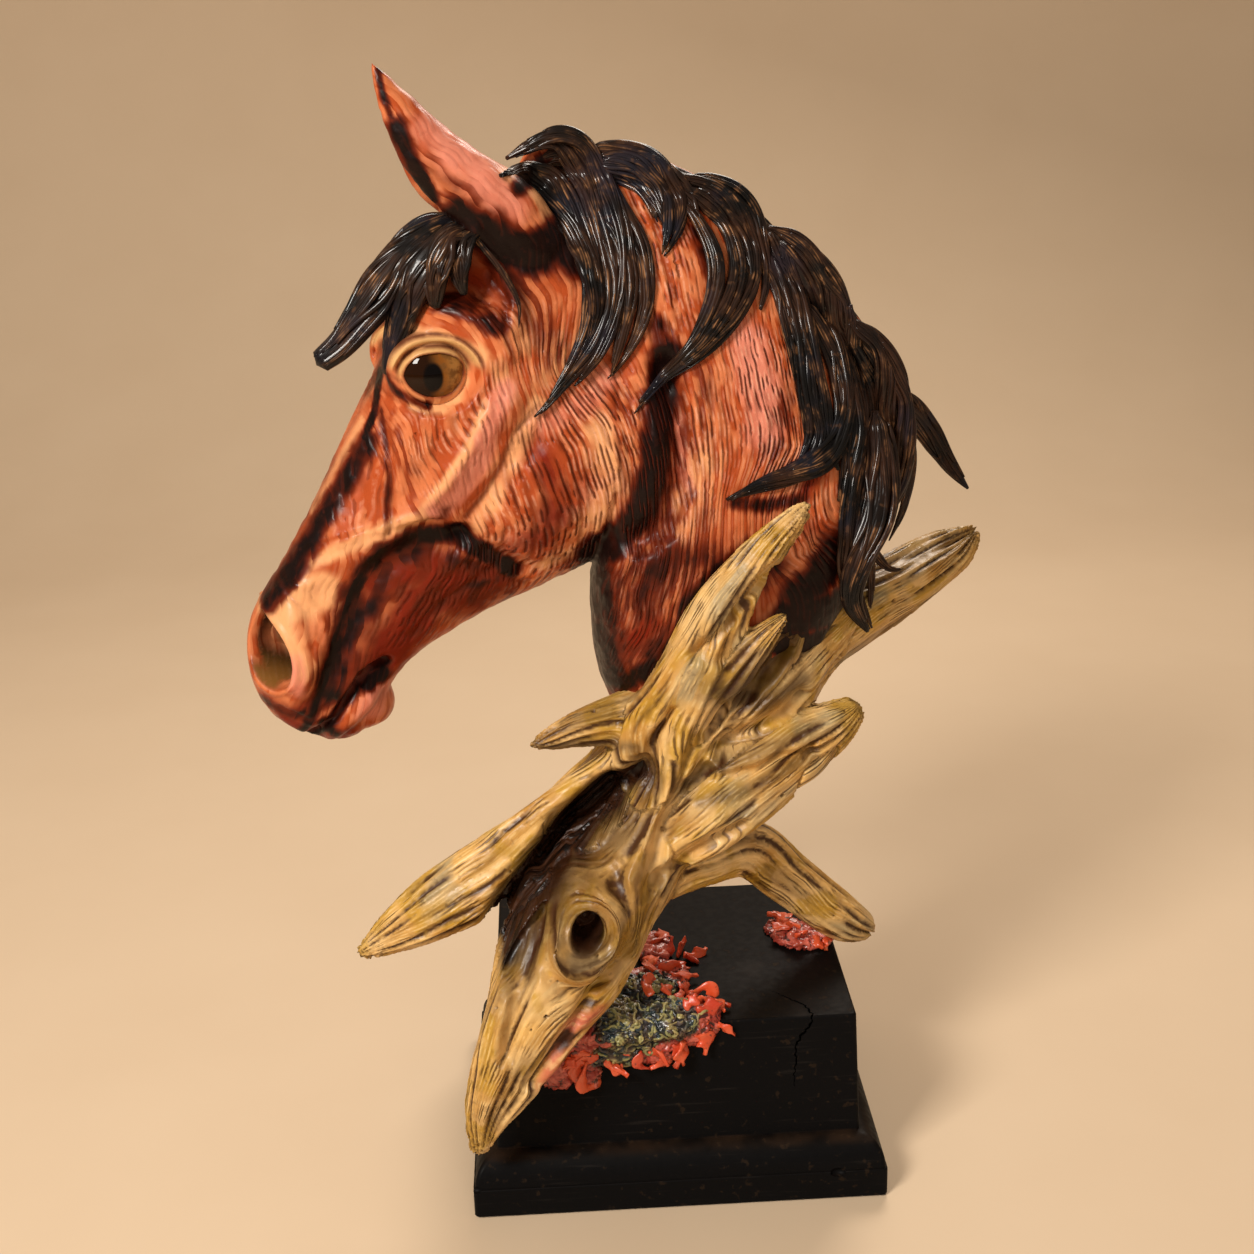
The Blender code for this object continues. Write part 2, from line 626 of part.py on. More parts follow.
def rounded_ring(half_x, half_y, z, radius):
    """The corners of a rectangle with rounded corners, at height z."""
    ring = []
    for quarter in range(4):
        sx = (1, -1, -1, 1)[quarter]
        sy = (1, 1, -1, -1)[quarter]
        for step in range(CORNER_STEPS):
            angle = math.pi / 2 * (quarter + step / (CORNER_STEPS - 1))
            ring.append((sx * (half_x - radius) + radius * math.cos(angle),
                         sy * (half_y - radius) + radius * math.sin(angle), z))
    return ring


def plinth_rings(grow=0.0):
    """The plinth's outline from the bottom up, as (inset, height). grow makes the cutter that keeps the clearance."""
    profile = [(EDGE_ROUND, 0.0), (0.0, EDGE_ROUND), (0.0, SLAB_HEIGHT - EDGE_ROUND), (STEP_INSET, SLAB_HEIGHT)]
    for step in range(1, OVOLO_STEPS + 1):
        angle = math.pi / 2 * step / OVOLO_STEPS
        inset = STEP_INSET + (OVOLO_INSET - STEP_INSET) * (1 - math.cos(angle))
        profile.append((inset, SLAB_HEIGHT + OVOLO_HEIGHT * math.sin(angle)))
    profile.append((OVOLO_INSET + BLOCK_TAPER, BLOCK_TOP - EDGE_ROUND + grow))
    if grow:
        profile[-1] = (OVOLO_INSET + BLOCK_TAPER, BLOCK_TOP + grow)
        profile[0] = (0.0, -EDGE_ROUND)
    else:
        profile.append((OVOLO_INSET + BLOCK_TAPER + EDGE_ROUND, BLOCK_TOP))
    return [rounded_ring(PLINTH_WIDTH / 2 - inset + grow, PLINTH_DEPTH / 2 - inset + grow, z, CORNER_RADIUS)
            for inset, z in profile]


def plinth_object(name, grow=0.0):
    rings = plinth_rings(grow)
    mesh = bmesh.new()
    loops = [[mesh.verts.new(Vector(point) * MM) for point in ring] for ring in rings]
    for low, high in zip(loops, loops[1:]):
        for k in range(len(low)):
            after = (k + 1) % len(low)
            mesh.faces.new((low[k], low[after], high[after], high[k]))
    mesh.faces.new(list(reversed(loops[0])))
    mesh.faces.new(loops[-1])
    bmesh.ops.recalc_face_normals(mesh, faces=mesh.faces)
    data = bpy.data.meshes.new(name)
    mesh.to_mesh(data)
    mesh.free()
    made = bpy.data.objects.new(name, data)
    bpy.context.scene.collection.objects.link(made)
    return made


def eye_ball(name, side, clearance=0.0):
    """The eye, an ellipsoid with its axes along the head's. clearance makes the cutter for its socket."""
    points, faces = head_blob(side, 1.0, np.array(EYE_SIZE) + clearance / UNIT)
    return mesh_object(name, place(points), outward_of(points, faces))


def lid_cutter(name, side):
    """A prism through the lids, from the middle of the eye outwards."""
    forward, up, left = EYE_PLACE
    inner = [(forward + f, up + u, side * (left + 1)) for f, u in LID_OPENING]
    outer = [(forward + 1.08 * f, up + 1.08 * u, side * (left + 60)) for f, u in LID_OPENING]
    points = head_to_figure(inner + outer)
    count = len(LID_OPENING)
    faces = [tuple(range(count)), tuple(range(2 * count - 1, count - 1, -1))]
    for k in range(count):
        after = (k + 1) % count
        faces.append((after, k, count + k, count + after))
    return mesh_object(name, place(points), outward_of(points, faces))


def cut(made, cutter):
    """Takes the cutter's shape out of the object."""
    cutter.hide_render = True
    cutter.display_type = "WIRE"
    bpy.context.view_layer.update()
    difference = made.modifiers.new("Cut " + cutter.name, "BOOLEAN")
    difference.operation = "DIFFERENCE"
    difference.solver = "EXACT"
    difference.object = cutter


def finish_material(name, colour, roughness, metallic=0.0):
    made = bpy.data.materials.new(name)
    made.use_nodes = True
    shader = made.node_tree.nodes["Principled BSDF"]
    shader.inputs["Base Color"].default_value = (*colour, 1.0)
    shader.inputs["Roughness"].default_value = roughness
    shader.inputs["Metallic"].default_value = metallic
    return made


def give(made, material):
    made.data.materials.clear()
    made.data.materials.append(material)
    made.data.shade_smooth()


def build_casting():
    """Horse and driftwood, cast in one, cut to sit on the plinth and to hold the eyes."""
    skin = build_skin()
    hair = build_hair(skin)
    wood = build_wood()
    shapes = [points_and_faces(skin), points_and_faces(wood), *hair]
    shapes += [blob(centre, sizes) for centre, sizes in MOSS]
    for helper in (skin, wood):
        bpy.data.objects.remove(helper)
    points, faces = joined(shapes)
    casting = mesh_object("horse_head_on_driftwood", place(points), faces)
    fuse(casting, UNION_VOXEL, 1)
    keep_outer_shell(casting)
    casting.data.calc_loop_triangles()
    thin = casting.modifiers.new("Thin out", "DECIMATE")
    thin.ratio = CASTING_TRIANGLES / len(casting.data.loop_triangles)
    apply_modifiers(casting)
    cut(casting, plinth_object("plinth_clearance", CLEARANCE))
    for name, side in (("left", 1), ("right", -1)):
        cut(casting, eye_ball("socket_" + name, side, CLEARANCE))
        cut(casting, lid_cutter("lids_" + name, side))
    return casting


def main():
    for old in list(bpy.data.objects):
        bpy.data.objects.remove(old)
    casting = build_casting()
    give(casting, finish_material("painted_resin", (0.42, 0.13, 0.05), 0.45))
    give(plinth_object("plinth"), finish_material("black_lacquer", (0.012, 0.012, 0.013), 0.35))
    glass = finish_material("eye_glass", (0.20, 0.08, 0.02), 0.08)
    for name, side in (("eye_left", 1), ("eye_right", -1)):
        give(eye_ball(name, side), glass)


main()
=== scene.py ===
# %% [markdown]
# # A horse head on driftwood, cast and painted
#
# The real object is a resin casting, about 40 cm high with its black plinth. It was modelled in clay with loop
# tools and a comb, cast in one piece and then painted by hand: thin dark washes in the grooves, dry brushed
# highlights on the ridges. This lesson builds it in the same order: clay form, combed relief, paint.

# %% Load the frame and name the sizes
import math
import bmesh
import bpy
import numpy as np
from mathutils import Matrix, Vector
from mathutils.bvhtree import BVHTree


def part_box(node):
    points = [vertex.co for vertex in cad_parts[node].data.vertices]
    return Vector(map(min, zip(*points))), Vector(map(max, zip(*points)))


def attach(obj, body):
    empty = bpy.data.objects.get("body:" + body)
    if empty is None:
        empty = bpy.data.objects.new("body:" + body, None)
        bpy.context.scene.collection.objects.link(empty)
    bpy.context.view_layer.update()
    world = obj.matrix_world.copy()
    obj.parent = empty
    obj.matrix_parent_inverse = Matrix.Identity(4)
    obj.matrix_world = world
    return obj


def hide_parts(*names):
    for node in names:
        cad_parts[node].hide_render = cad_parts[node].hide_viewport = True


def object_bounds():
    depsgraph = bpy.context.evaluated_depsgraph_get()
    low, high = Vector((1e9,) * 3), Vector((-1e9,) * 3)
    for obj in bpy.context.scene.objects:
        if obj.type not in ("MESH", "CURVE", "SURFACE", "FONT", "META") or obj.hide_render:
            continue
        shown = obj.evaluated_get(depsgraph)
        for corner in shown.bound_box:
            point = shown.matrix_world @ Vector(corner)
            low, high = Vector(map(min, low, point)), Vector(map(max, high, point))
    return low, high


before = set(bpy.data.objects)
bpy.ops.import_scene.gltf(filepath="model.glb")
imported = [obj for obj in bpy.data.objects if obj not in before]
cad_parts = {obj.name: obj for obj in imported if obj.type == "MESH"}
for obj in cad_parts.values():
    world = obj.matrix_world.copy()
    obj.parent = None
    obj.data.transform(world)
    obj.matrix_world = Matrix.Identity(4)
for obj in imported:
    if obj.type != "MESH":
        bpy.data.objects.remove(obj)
CAD_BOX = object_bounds()
CASTING = "horse_head_on_driftwood"
PLINTH_LOW, PLINTH_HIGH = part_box("plinth")
MM = 0.001
# The figure is drawn in thousandths of its own height, from the block's top front left corner
UNIT = 0.3275 * MM
BLOCK_INSET = 10.5 * MM
CORNER = np.array([PLINTH_LOW.x + BLOCK_INSET, PLINTH_LOW.y + BLOCK_INSET, PLINTH_HIGH.z])
# The head's middle plane turns about the poll towards the viewer
POLL = (111.0, 157.0)
HEAD_TURN = math.radians(12.0)
print("plinth", [round(v / MM, 1) for v in PLINTH_HIGH - PLINTH_LOW], "mm")

# %% [markdown]
# ## Camera
#
# The photographer looked down at the sculpture from just left of its middle. A camera is easiest to place by three
# turns, so its axes are worked out from pitch, yaw and roll, and they become the columns of its matrix.

# %% Camera
FOCAL_PIXELS = 1800.0
PHOTO_PIXELS = 1254.0
SENSOR = 36.0
PITCH, YAW, ROLL = math.radians(19.235), math.radians(2.346), math.radians(-1.699)
CAMERA_PLACE = Vector((-36.158, -607.302, 413.743)) * MM


def linked(name, data):
    """A new object in the scene."""
    made = bpy.data.objects.new(name, data)
    bpy.context.scene.collection.objects.link(made)
    return made


def make_camera():
    forward = Vector((math.sin(YAW) * math.cos(PITCH), math.cos(YAW) * math.cos(PITCH), -math.sin(PITCH)))
    level = Vector((math.cos(YAW), -math.sin(YAW), 0.0))
    upright = level.cross(forward)
    right = math.cos(ROLL) * level + math.sin(ROLL) * upright
    up = math.cos(ROLL) * upright - math.sin(ROLL) * level
    lens = bpy.data.cameras.new("camera")
    lens.sensor_width = SENSOR
    lens.lens = SENSOR * FOCAL_PIXELS / PHOTO_PIXELS
    lens.clip_start = 0.01
    camera = linked("camera", lens)
    camera.matrix_world = Matrix((
        (right.x, up.x, -forward.x, CAMERA_PLACE.x),
        (right.y, up.y, -forward.y, CAMERA_PLACE.y),
        (right.z, up.z, -forward.z, CAMERA_PLACE.z),
        (0, 0, 0, 1)))
    bpy.context.scene.camera = camera
    return camera


camera = make_camera()
print("lens", round(camera.data.lens, 2), "mm")

# %% [markdown]
# ## Places, lines and noise
#
# Everything below is arithmetic on arrays of points. A feature of the head, such as a brow or a vein, is a short
# line in the side view with a reach and a height, and `near_line` and `fade` turn it into a soft ridge or groove.
# Comb strokes are parallel lines, bent and broken by noise, in numbers that run across and along the comb's way.


# %% Turning figure units into places
def place(points):
    """Figure units to metres."""
    return np.asarray(points, float) * UNIT + CORNER


def head_to_figure(points):
    """(forward, up, left) in the head's frame to the figure's x, y, z."""
    forward, up, left = np.asarray(points, float).T
    x = POLL[0] - forward * math.cos(HEAD_TURN) + left * math.sin(HEAD_TURN)
    y = POLL[1] - forward * math.sin(HEAD_TURN) - left * math.cos(HEAD_TURN)
    return np.stack([x, y, up], axis=1)


def figure_to_head(points):
    dx = POLL[0] - points[:, 0]
    dy = POLL[1] - points[:, 1]
    forward = dx * math.cos(HEAD_TURN) + dy * math.sin(HEAD_TURN)
    left = dy * math.cos(HEAD_TURN) - dx * math.sin(HEAD_TURN)
    return np.stack([forward, points[:, 2], left], axis=1)


def smooth_rows(rows, steps, closed=False):
    """Catmull-Rom through rows of numbers, with steps points for each span."""
    rows = np.asarray(rows, float)
    if closed:
        padded = np.vstack([rows[-1], rows, rows[0], rows[1]])
    else:
        padded = np.vstack([2 * rows[0] - rows[1], rows, 2 * rows[-1] - rows[-2]])
    made = []
    for a, b, c, d in zip(padded, padded[1:], padded[2:], padded[3:]):
        for t in np.linspace(0.0, 1.0, steps, endpoint=False):
            made.append(0.5 * (2 * b + (c - a) * t + (2 * a - 5 * b + 4 * c - d) * t**2
                               + (3 * b - a - 3 * c + d) * t**3))
    if not closed:
        made.append(rows[-1])
    return np.array(made)


# %% Lines, fades and outlines
def near_line(places, line):
    """Distance of 2-D places from a line through points."""
    best = np.full(len(places), 1e9)
    line = np.asarray(line, float)
    for start, end in zip(line, line[1:]):
        span = end - start
        share = np.clip(((places - start) @ span) / (span @ span), 0, 1)
        best = np.minimum(best, np.linalg.norm(places - start - share[:, None] * span, axis=1))
    return best


def fade(gap, reach):
    """1 on the line, falling smoothly to 0 at reach."""
    share = np.clip(1 - gap / reach, 0, 1)
    return share * share * (3 - 2 * share)


def ease(low, high, value):
    """0 up to low, 1 from high on, and a smooth step between."""
    return fade(np.asarray(high - value, float), high - low)


def lines_lift(flat, rows):
    """The sum of several soft lines, each (points, reach, height), at every place."""
    lift = np.zeros(len(flat))
    for line, reach, height in rows:
        lift += height * fade(near_line(flat, line), reach)
    return lift


def lines_mask(flat, rows):
    """The strongest of several soft lines, each (points, reach, strength), at every place."""
    mask = np.zeros(len(flat))
    for line, reach, strength in rows:
        mask = np.maximum(mask, strength * fade(near_line(flat, line), reach))
    return mask


def outline_gap(flat, outline):
    """Distance from a smooth closed outline, below 0 inside it."""
    ring = smooth_rows(outline, 5, closed=True)
    ring = np.vstack([ring, ring[:1]])
    inside = np.zeros(len(flat), bool)
    for (ax, ay), (bx, by) in zip(ring, ring[1:]):
        crosses = (ay > flat[:, 1]) != (by > flat[:, 1])
        reach = ax + (bx - ax) * (flat[:, 1] - ay) / (by - ay if by != ay else 1.0)
        inside ^= crosses & (flat[:, 0] < reach)
    gap = near_line(flat, ring)
    return np.where(inside, -gap, gap)


# %% Noise, and noise combed along a flow
NOISE_TABLE = np.random.default_rng(7).uniform(-1, 1, 65536).astype(np.float32)


def noise(places, size, seed):
    """Smooth random values from -1 to 1, with hills about twice size apart."""
    spot = np.asarray(places, np.float32) / size + seed * 31.7
    cell = np.floor(spot).astype(np.int64)
    share = (spot - cell).astype(np.float32)
    share = share * share * (3 - 2 * share)
    total = np.zeros(len(spot), np.float32)
    for corner in range(8):
        step = np.array([corner & 1, corner >> 1 & 1, corner >> 2 & 1])
        key = cell + step
        index = (key[:, 0] * 73856093 ^ key[:, 1] * 19349663 ^ key[:, 2] * 83492791) & 65535
        weight = np.prod(np.where(step, share, 1 - share), axis=1)
        total += weight * NOISE_TABLE[index]
    return total


def combed(places, normals, flow, size, length, seed, wander, taps):
    """Noise smeared along the flow, scaled to a spread of 1. wander makes the strokes wavy."""
    stride = length / (taps - 1)
    total = noise(places, size, seed)
    across = np.cross(normals, flow)
    for way in (-1, 1):
        walk = np.array(places, np.float32)
        for _ in range(taps // 2):
            turn = wander * noise(walk, size * 3.0, seed + 5)
            step = flow + across * turn[:, None]
            walk = walk + step * (way * stride)
            total = total + noise(walk, size, seed)
    return (total - total.mean()) / total.std()


def comb_lines(comb, spacing, length, wave, seed):
    """Grooves and the ridges between them, for places given as (across, along, part) in millimetres."""
    across, along, part = comb.T
    bend = noise(np.stack([across * 0.35, along, part], axis=1), 0.55 * length, seed)
    across = (across + wave * bend) / spacing
    row = np.floor(across)
    gap = np.abs(across - row - 0.5) * 2
    deep = ease(-0.25, 0.35, noise(np.stack([row * 3.7, along / length, part * 0.1], axis=1), 0.5, seed + 1))
    return deep * fade(gap, 0.8), ease(0.35, 1.0, gap) * (0.4 + 0.6 * deep)


# %% [markdown]
# ## Closed shapes from rings
#
# A head, an ear, a branch and a lock of hair are all rings of points joined into a closed skin. Each shape is made
# on its own and overlaps its neighbours. A voxel remesh then melts them into one, as clay is pressed together.


# %% Rings, lofts and tubes
def full_turn(count):
    return np.linspace(0, 2 * math.pi, count, endpoint=False)


def unit(rows):
    """The same directions, each with a length of 1."""
    return rows / np.linalg.norm(rows, axis=1)[:, None]


def skin_of_rings(rings, first, last):
    """Points and faces of a closed skin over equal rings, with an end point beyond each."""
    count = len(rings[0])
    points = np.concatenate([[first], *rings, [last]])
    k = np.arange(count)
    after = (k + 1) % count
    faces = []
    for row in range(len(rings) - 1):
        base = 1 + row * count
        faces += np.stack([base + k, base + after, base + after + count, base + k + count], axis=1).tolist()
    end = len(points) - 1
    faces += np.stack([np.zeros_like(k), 1 + after, 1 + k], axis=1).tolist()
    faces += np.stack([np.full_like(k, end), end - count + k, end - count + after], axis=1).tolist()
    return points, faces


def body_loft(stations, to_figure, ring_points=96, steps=8):
    """A closed body through stations that each give two profile points, a half width and two roundnesses."""
    rows = [[*top, *low, width, widest, round_top, round_low]
            for top, low, width, widest, round_top, round_low in stations]
    rings = []
    angle = full_turn(ring_points)
    rise, side = np.cos(angle), np.sin(angle)
    for x0, z0, x1, z1, width, widest, round_top, round_low in smooth_rows(rows, steps):
        power = 2 / np.where(rise >= 0, round_top, round_low)
        bow = np.abs(rise)**power
        share = np.where(rise >= 0, widest * (1 - bow), widest + (1 - widest) * bow)
        reach = np.sign(side) * width * np.abs(side)**power
        rings.append(to_figure(np.stack([x0 + (x1 - x0) * share, z0 + (z1 - z0) * share, reach], axis=1)))
    return skin_of_rings(rings, rings[0].mean(axis=0), rings[-1].mean(axis=0))


def frames_along(path, outward=None):
    """Unit tangents of a path and two directions across it, the second along outward where it is given."""
    tangents = unit(np.gradient(path, axis=0) + 1e-5 * (path[-1] - path[0]))
    if outward is not None:
        across = unit(np.cross(tangents, outward))
        return tangents, across, np.cross(across, tangents)
    across = np.cross(tangents[0], (0.0, 1.0, 0.1))
    rows = []
    for tangent in tangents:
        across = across - tangent * (across @ tangent)
        across /= np.linalg.norm(across)
        rows.append(across)
    across = np.array(rows)
    return tangents, across, np.cross(across, tangents)


def tube(path, wide, thick, outward=None, ring_points=32, swell=None):
    """A closed tube of elliptical section. swell(angle, row) scales the section."""
    tangents, across, out = frames_along(path, outward)
    angle = full_turn(ring_points)
    rings = []
    for k, centre in enumerate(path):
        scale = 1.0 if swell is None else swell(angle, k)
        rings.append(centre + np.outer(np.cos(angle) * scale * wide[k], across[k])
                     + np.outer(np.sin(angle) * scale * thick[k], out[k]))
    return skin_of_rings(rings, path[0] - tangents[0] * wide[0] * 0.4, path[-1] + tangents[-1] * wide[-1] * 0.4)


def blob(centre, half_sizes, subdivisions=4):
    mesh = bmesh.new()
    bmesh.ops.create_icosphere(mesh, subdivisions=subdivisions, radius=1.0)
    points = np.array([v.co for v in mesh.verts]) * half_sizes + centre
    faces = [tuple(v.index for v in face.verts) for face in mesh.faces]
    mesh.free()
    return points, faces


def outward_faces(points, faces):
    """Turns the faces round if the closed shape is inside out."""
    corners = np.array([face[:3] for face in faces])
    a, b, c = (points[corners[:, k]] - points[0] for k in range(3))
    volume = np.einsum("ij,ij->", a, np.cross(b, c))
    return faces if volume > 0 else [tuple(reversed(face)) for face in faces]


def joined(shapes):
    """Several closed shapes as one list of points and faces."""
    points, faces, start = [], [], 0
    for shape_points, shape_faces in shapes:
        shape_points = np.asarray(shape_points, float)
        faces += [tuple(i + start for i in face) for face in outward_faces(shape_points, shape_faces)]
        points.append(shape_points)
        start += len(shape_points)
    return np.concatenate(points), faces


# %% Objects, remesh and attributes
def mesh_object(name, points, faces):
    """A new object from points in figure units."""
    mesh = bpy.data.meshes.new(name)
    mesh.from_pydata(place(points).tolist(), [], faces)
    mesh.update()
    return linked(name, mesh)


def apply_modifiers(made):
    graph = bpy.context.evaluated_depsgraph_get()
    mesh = bpy.data.meshes.new_from_object(made.evaluated_get(graph))
    made.modifiers.clear()
    old = made.data
    made.data = mesh
    bpy.data.meshes.remove(old)


def smoothed(made, rounds):
    smooth = made.modifiers.new("Ease", "SMOOTH")
    smooth.factor = 0.5
    smooth.iterations = rounds
    apply_modifiers(made)


def fuse(made, voxel, rounds):
    """Melts overlapping shapes into one skin of even quads, voxel millimetres wide."""
    remesh = made.modifiers.new("Fuse", "REMESH")
    remesh.mode = "VOXEL"
    remesh.voxel_size = voxel * MM
    smoothed(made, rounds)


# How much dearer an edge is where detail is kept, against the error of merging it
KEEP_COST = 3e-6
LEAST_PLAIN = 0.02


def thin_out(made, triangles, plain=None):
    """Merges the smallest faces until about this many triangles are left, first where plain is 1."""
    made.data.calc_loop_triangles()
    count = len(made.data.loop_triangles)
    if count > triangles:
        thin = made.modifiers.new("Thin out", "DECIMATE")
        thin.ratio = triangles / count
        if plain is not None:
            group = made.vertex_groups.new(name="plain")
            for level in range(11):
                rows = np.flatnonzero(np.round(plain * 10) == level).tolist()
                group.add(rows, max(level / 10, LEAST_PLAIN), "REPLACE")
            thin.vertex_group = "plain"
            thin.vertex_group_factor = KEEP_COST
        apply_modifiers(made)
    made.data.calc_loop_triangles()
    print(made.name, count, "to", len(made.data.loop_triangles), "triangles")


def numbers_of(made):
    """Places in figure units, and normals."""
    mesh = made.data
    places = np.empty(len(mesh.vertices) * 3, np.float32)
    mesh.vertices.foreach_get("co", places)
    normals = np.empty(len(mesh.vertices) * 3, np.float32)
    mesh.vertex_normals.foreach_get("vector", normals)
    return (places.reshape(-1, 3) - CORNER) / UNIT, normals.reshape(-1, 3).astype(float)


def write_places(made, places):
    made.data.vertices.foreach_set("co", place(places).astype(np.float32).ravel())
    made.data.update()


def keep_outer_shell(made):
    """Keeps the shell with the most points, and drops closed hollows inside it."""
    mesh = made.data
    edges = np.empty(len(mesh.edges) * 2, np.int64)
    mesh.edges.foreach_get("vertices", edges)
    a, b = edges.reshape(-1, 2).T
    label = np.arange(len(mesh.vertices))
    while True:
        low = np.minimum(label[a], label[b])
        fresh = label.copy()
        np.minimum.at(fresh, a, low)
        np.minimum.at(fresh, b, low)
        fresh = fresh[fresh]
        if np.array_equal(fresh, label):
            break
        label = fresh
    names, counts = np.unique(label, return_counts=True)
    if len(names) > 1:
        keep = names[counts.argmax()]
        shell = bmesh.new()
        shell.from_mesh(mesh)
        shell.verts.ensure_lookup_table()
        loose = [v for v in shell.verts if label[v.index] != keep]
        bmesh.ops.delete(shell, geom=loose, context="VERTS")
        shell.to_mesh(mesh)
        shell.free()


def brush(made, name, values):
    """A mask painted on the mesh: one number for each point, or three for the comb."""
    values = np.asarray(values, np.float32)
    kind, key = ("FLOAT", "value") if values.ndim == 1 else ("FLOAT_VECTOR", "vector")
    made.data.attributes.new(name, kind, "POINT").data.foreach_set(key, values.ravel())


def finished(made, *nodes, slot):
    """Smooth shading, points kept within the solids' box, and what the frame has to know of a piece."""
    low, high = [(np.array(corner) - CORNER) / UNIT for corner in CAD_BOX]
    places, _ = numbers_of(made)
    write_places(made, np.clip(places, low, high))
    made.data.shade_smooth()
    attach(made, "root")
    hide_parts(*nodes)
    return made


# %% [markdown]
# ## The head and neck in clay
#
# A horse's head is a wedge with flat cheeks, and its neck is a deep wedge that narrows to the throat. Both are lofts
# through stations that give the upper and lower profile, the width and how square the section is. Ears and the
# swelling round the eyes are pressed on, and the lot is fused into one skin.

# %% Stations of the head and neck
HEAD = (
    ((40, 850), (-110, 715), 78, 0.45, 2.2, 2.4),
    ((108, 836), (-104, 600), 90, 0.42, 2.3, 2.9),
    ((160, 776), (-68, 524), 98, 0.32, 2.6, 2.8),
    ((196, 706), (-24, 490), 96, 0.28, 2.7, 2.5),
    ((237, 637), (33, 464), 80, 0.32, 2.5, 2.1),
    ((270, 578), (92, 442), 64, 0.38, 2.3, 2.0),
    ((300, 529), (140, 420), 56, 0.42, 2.2, 2.0),
    ((326, 491), (177, 399), 54, 0.46, 2.2, 2.0),
    ((347, 459), (202, 378), 58, 0.44, 2.2, 2.1),
    ((356, 422), (222, 349), 58, 0.42, 2.2, 2.2),
    ((352, 381), (243, 320), 48, 0.45, 2.2, 2.2),
    ((336, 347), (270, 311), 28, 0.50, 2.0, 2.0),
)
NECK = (
    ((72, 850), (180, 640), 64, 0.50, 2.0, 2.0),
    ((112, 880), (166, 548), 68, 0.48, 1.9, 1.9),
    ((166, 880), (142, 502), 76, 0.50, 1.8, 1.9),
    ((232, 862), (126, 468), 90, 0.56, 1.7, 2.1),
    ((292, 820), (123, 432), 102, 0.60, 1.7, 2.3),
    ((350, 764), (125, 392), 110, 0.62, 1.8, 2.4),
    ((398, 690), (132, 350), 112, 0.60, 1.9, 2.4),
    ((428, 610), (152, 306), 108, 0.56, 2.0, 2.3),
    ((436, 536), (190, 272), 98, 0.52, 2.0, 2.2),
    ((412, 458), (250, 254), 80, 0.50, 2.0, 2.0),
)
CREST = ((66, 874), (84, 898), (108, 908), (150, 897), (196, 890), (238, 870), (280, 846), (314, 810), (350, 782),
         (384, 746), (416, 706), (440, 664), (452, 626), (454, 586), (447, 546), (434, 512), (414, 482))
CREST_RADIUS = 13.0
EARS = (
    ((72, 848, 46), (192.5, 1003, 54), 48.0),
    ((74, 846, -46), (158, 962, -62), 40.0),
)
EAR_OUTLINE = ((-0.25, 0.86), (0.0, 0.95), (0.16, 1.0), (0.34, 0.90), (0.52, 0.76), (0.70, 0.56), (0.85, 0.33),
               (0.95, 0.16), (1.0, 0.05))
EAR_BOW = 20.0
EYE_PLACE = (154.0, 710.0, 72.0)
EYE_SIZE = (32.0, 30.0, 20.0)
ORBIT_SIZE = (45.0, 41.0, 36.0)
CHIN = ((240, 350, 0), (34, 31, 30))
FAR_WING = ((328, 452, -36), (17, 20, 18))
SKIN_VOXEL = 0.74
SKIN_TRIANGLES = 194000


def neck_to_figure(points):
    x, z, left = np.asarray(points, float).T
    return np.stack([x, POLL[1] - left, z], axis=1)


def ear(base, tip, half_width):
    """A leaf-shaped ear, hollow on the side that faces forward and out."""
    base, tip = np.array(base, float), np.array(tip, float)
    side = math.copysign(1.0, base[2])
    axis = tip - base
    opening = np.array([0.95, 0.20, -0.12 * side])
    opening -= axis * (opening @ axis) / (axis @ axis)
    opening /= np.linalg.norm(opening)
    across = np.cross(axis, opening) / np.linalg.norm(axis)
    angle = full_turn(64)
    rings = []
    for share, outline in smooth_rows(EAR_OUTLINE, 5):
        dent = 0.95 * np.clip(share * 6, 0, 1) * np.exp(-(np.sin(angle / 2) / 0.36) ** 2)
        radius = outline * half_width * (1 - dent)
        bow = opening * (EAR_BOW * math.sin(math.pi * np.clip(share, 0, 1)))
        rings.append(head_to_figure(base + axis * share + bow + np.outer(np.cos(angle) * radius, opening)
                                    + np.outer(np.sin(angle) * radius * 0.8, across)))
    ends = head_to_figure([base - axis * 0.3, tip + axis * 0.01])
    return skin_of_rings(rings, ends[0], ends[1])


def head_blob(centre, sizes):
    points, faces = blob((0, 0, 0), sizes)
    return head_to_figure(points + centre), faces


# %% Fuse the clay
def build_clay():
    shapes = [body_loft(HEAD, head_to_figure), body_loft(NECK, neck_to_figure)]
    shapes += [ear(*one) for one in EARS]
    shapes += [head_blob(*CHIN), head_blob(*FAR_WING)]
    forward, up, left = EYE_PLACE
    for side in (1, -1):
        shapes.append(head_blob((forward, up, side * left * 0.88), ORBIT_SIZE))
    ridge = smooth_rows([(x, POLL[1], z) for x, z in CREST], 4)
    full = np.full(len(ridge), CREST_RADIUS)
    shapes.append(tube(ridge, full, full))
    made = mesh_object("horse_head_and_neck", *joined(shapes))
    fuse(made, 1.0, 18)
    return made


coat = build_clay()
print("clay", len(coat.data.vertices), "points")

# %% [markdown]
# ## Modelling the features
#
# Muscles, veins and folds come from lines in the head's side view. Lids and nostrils need an edge, so they use a
# closed outline: inside it the clay is pushed in, outside it the profile of the lid is laid around it.

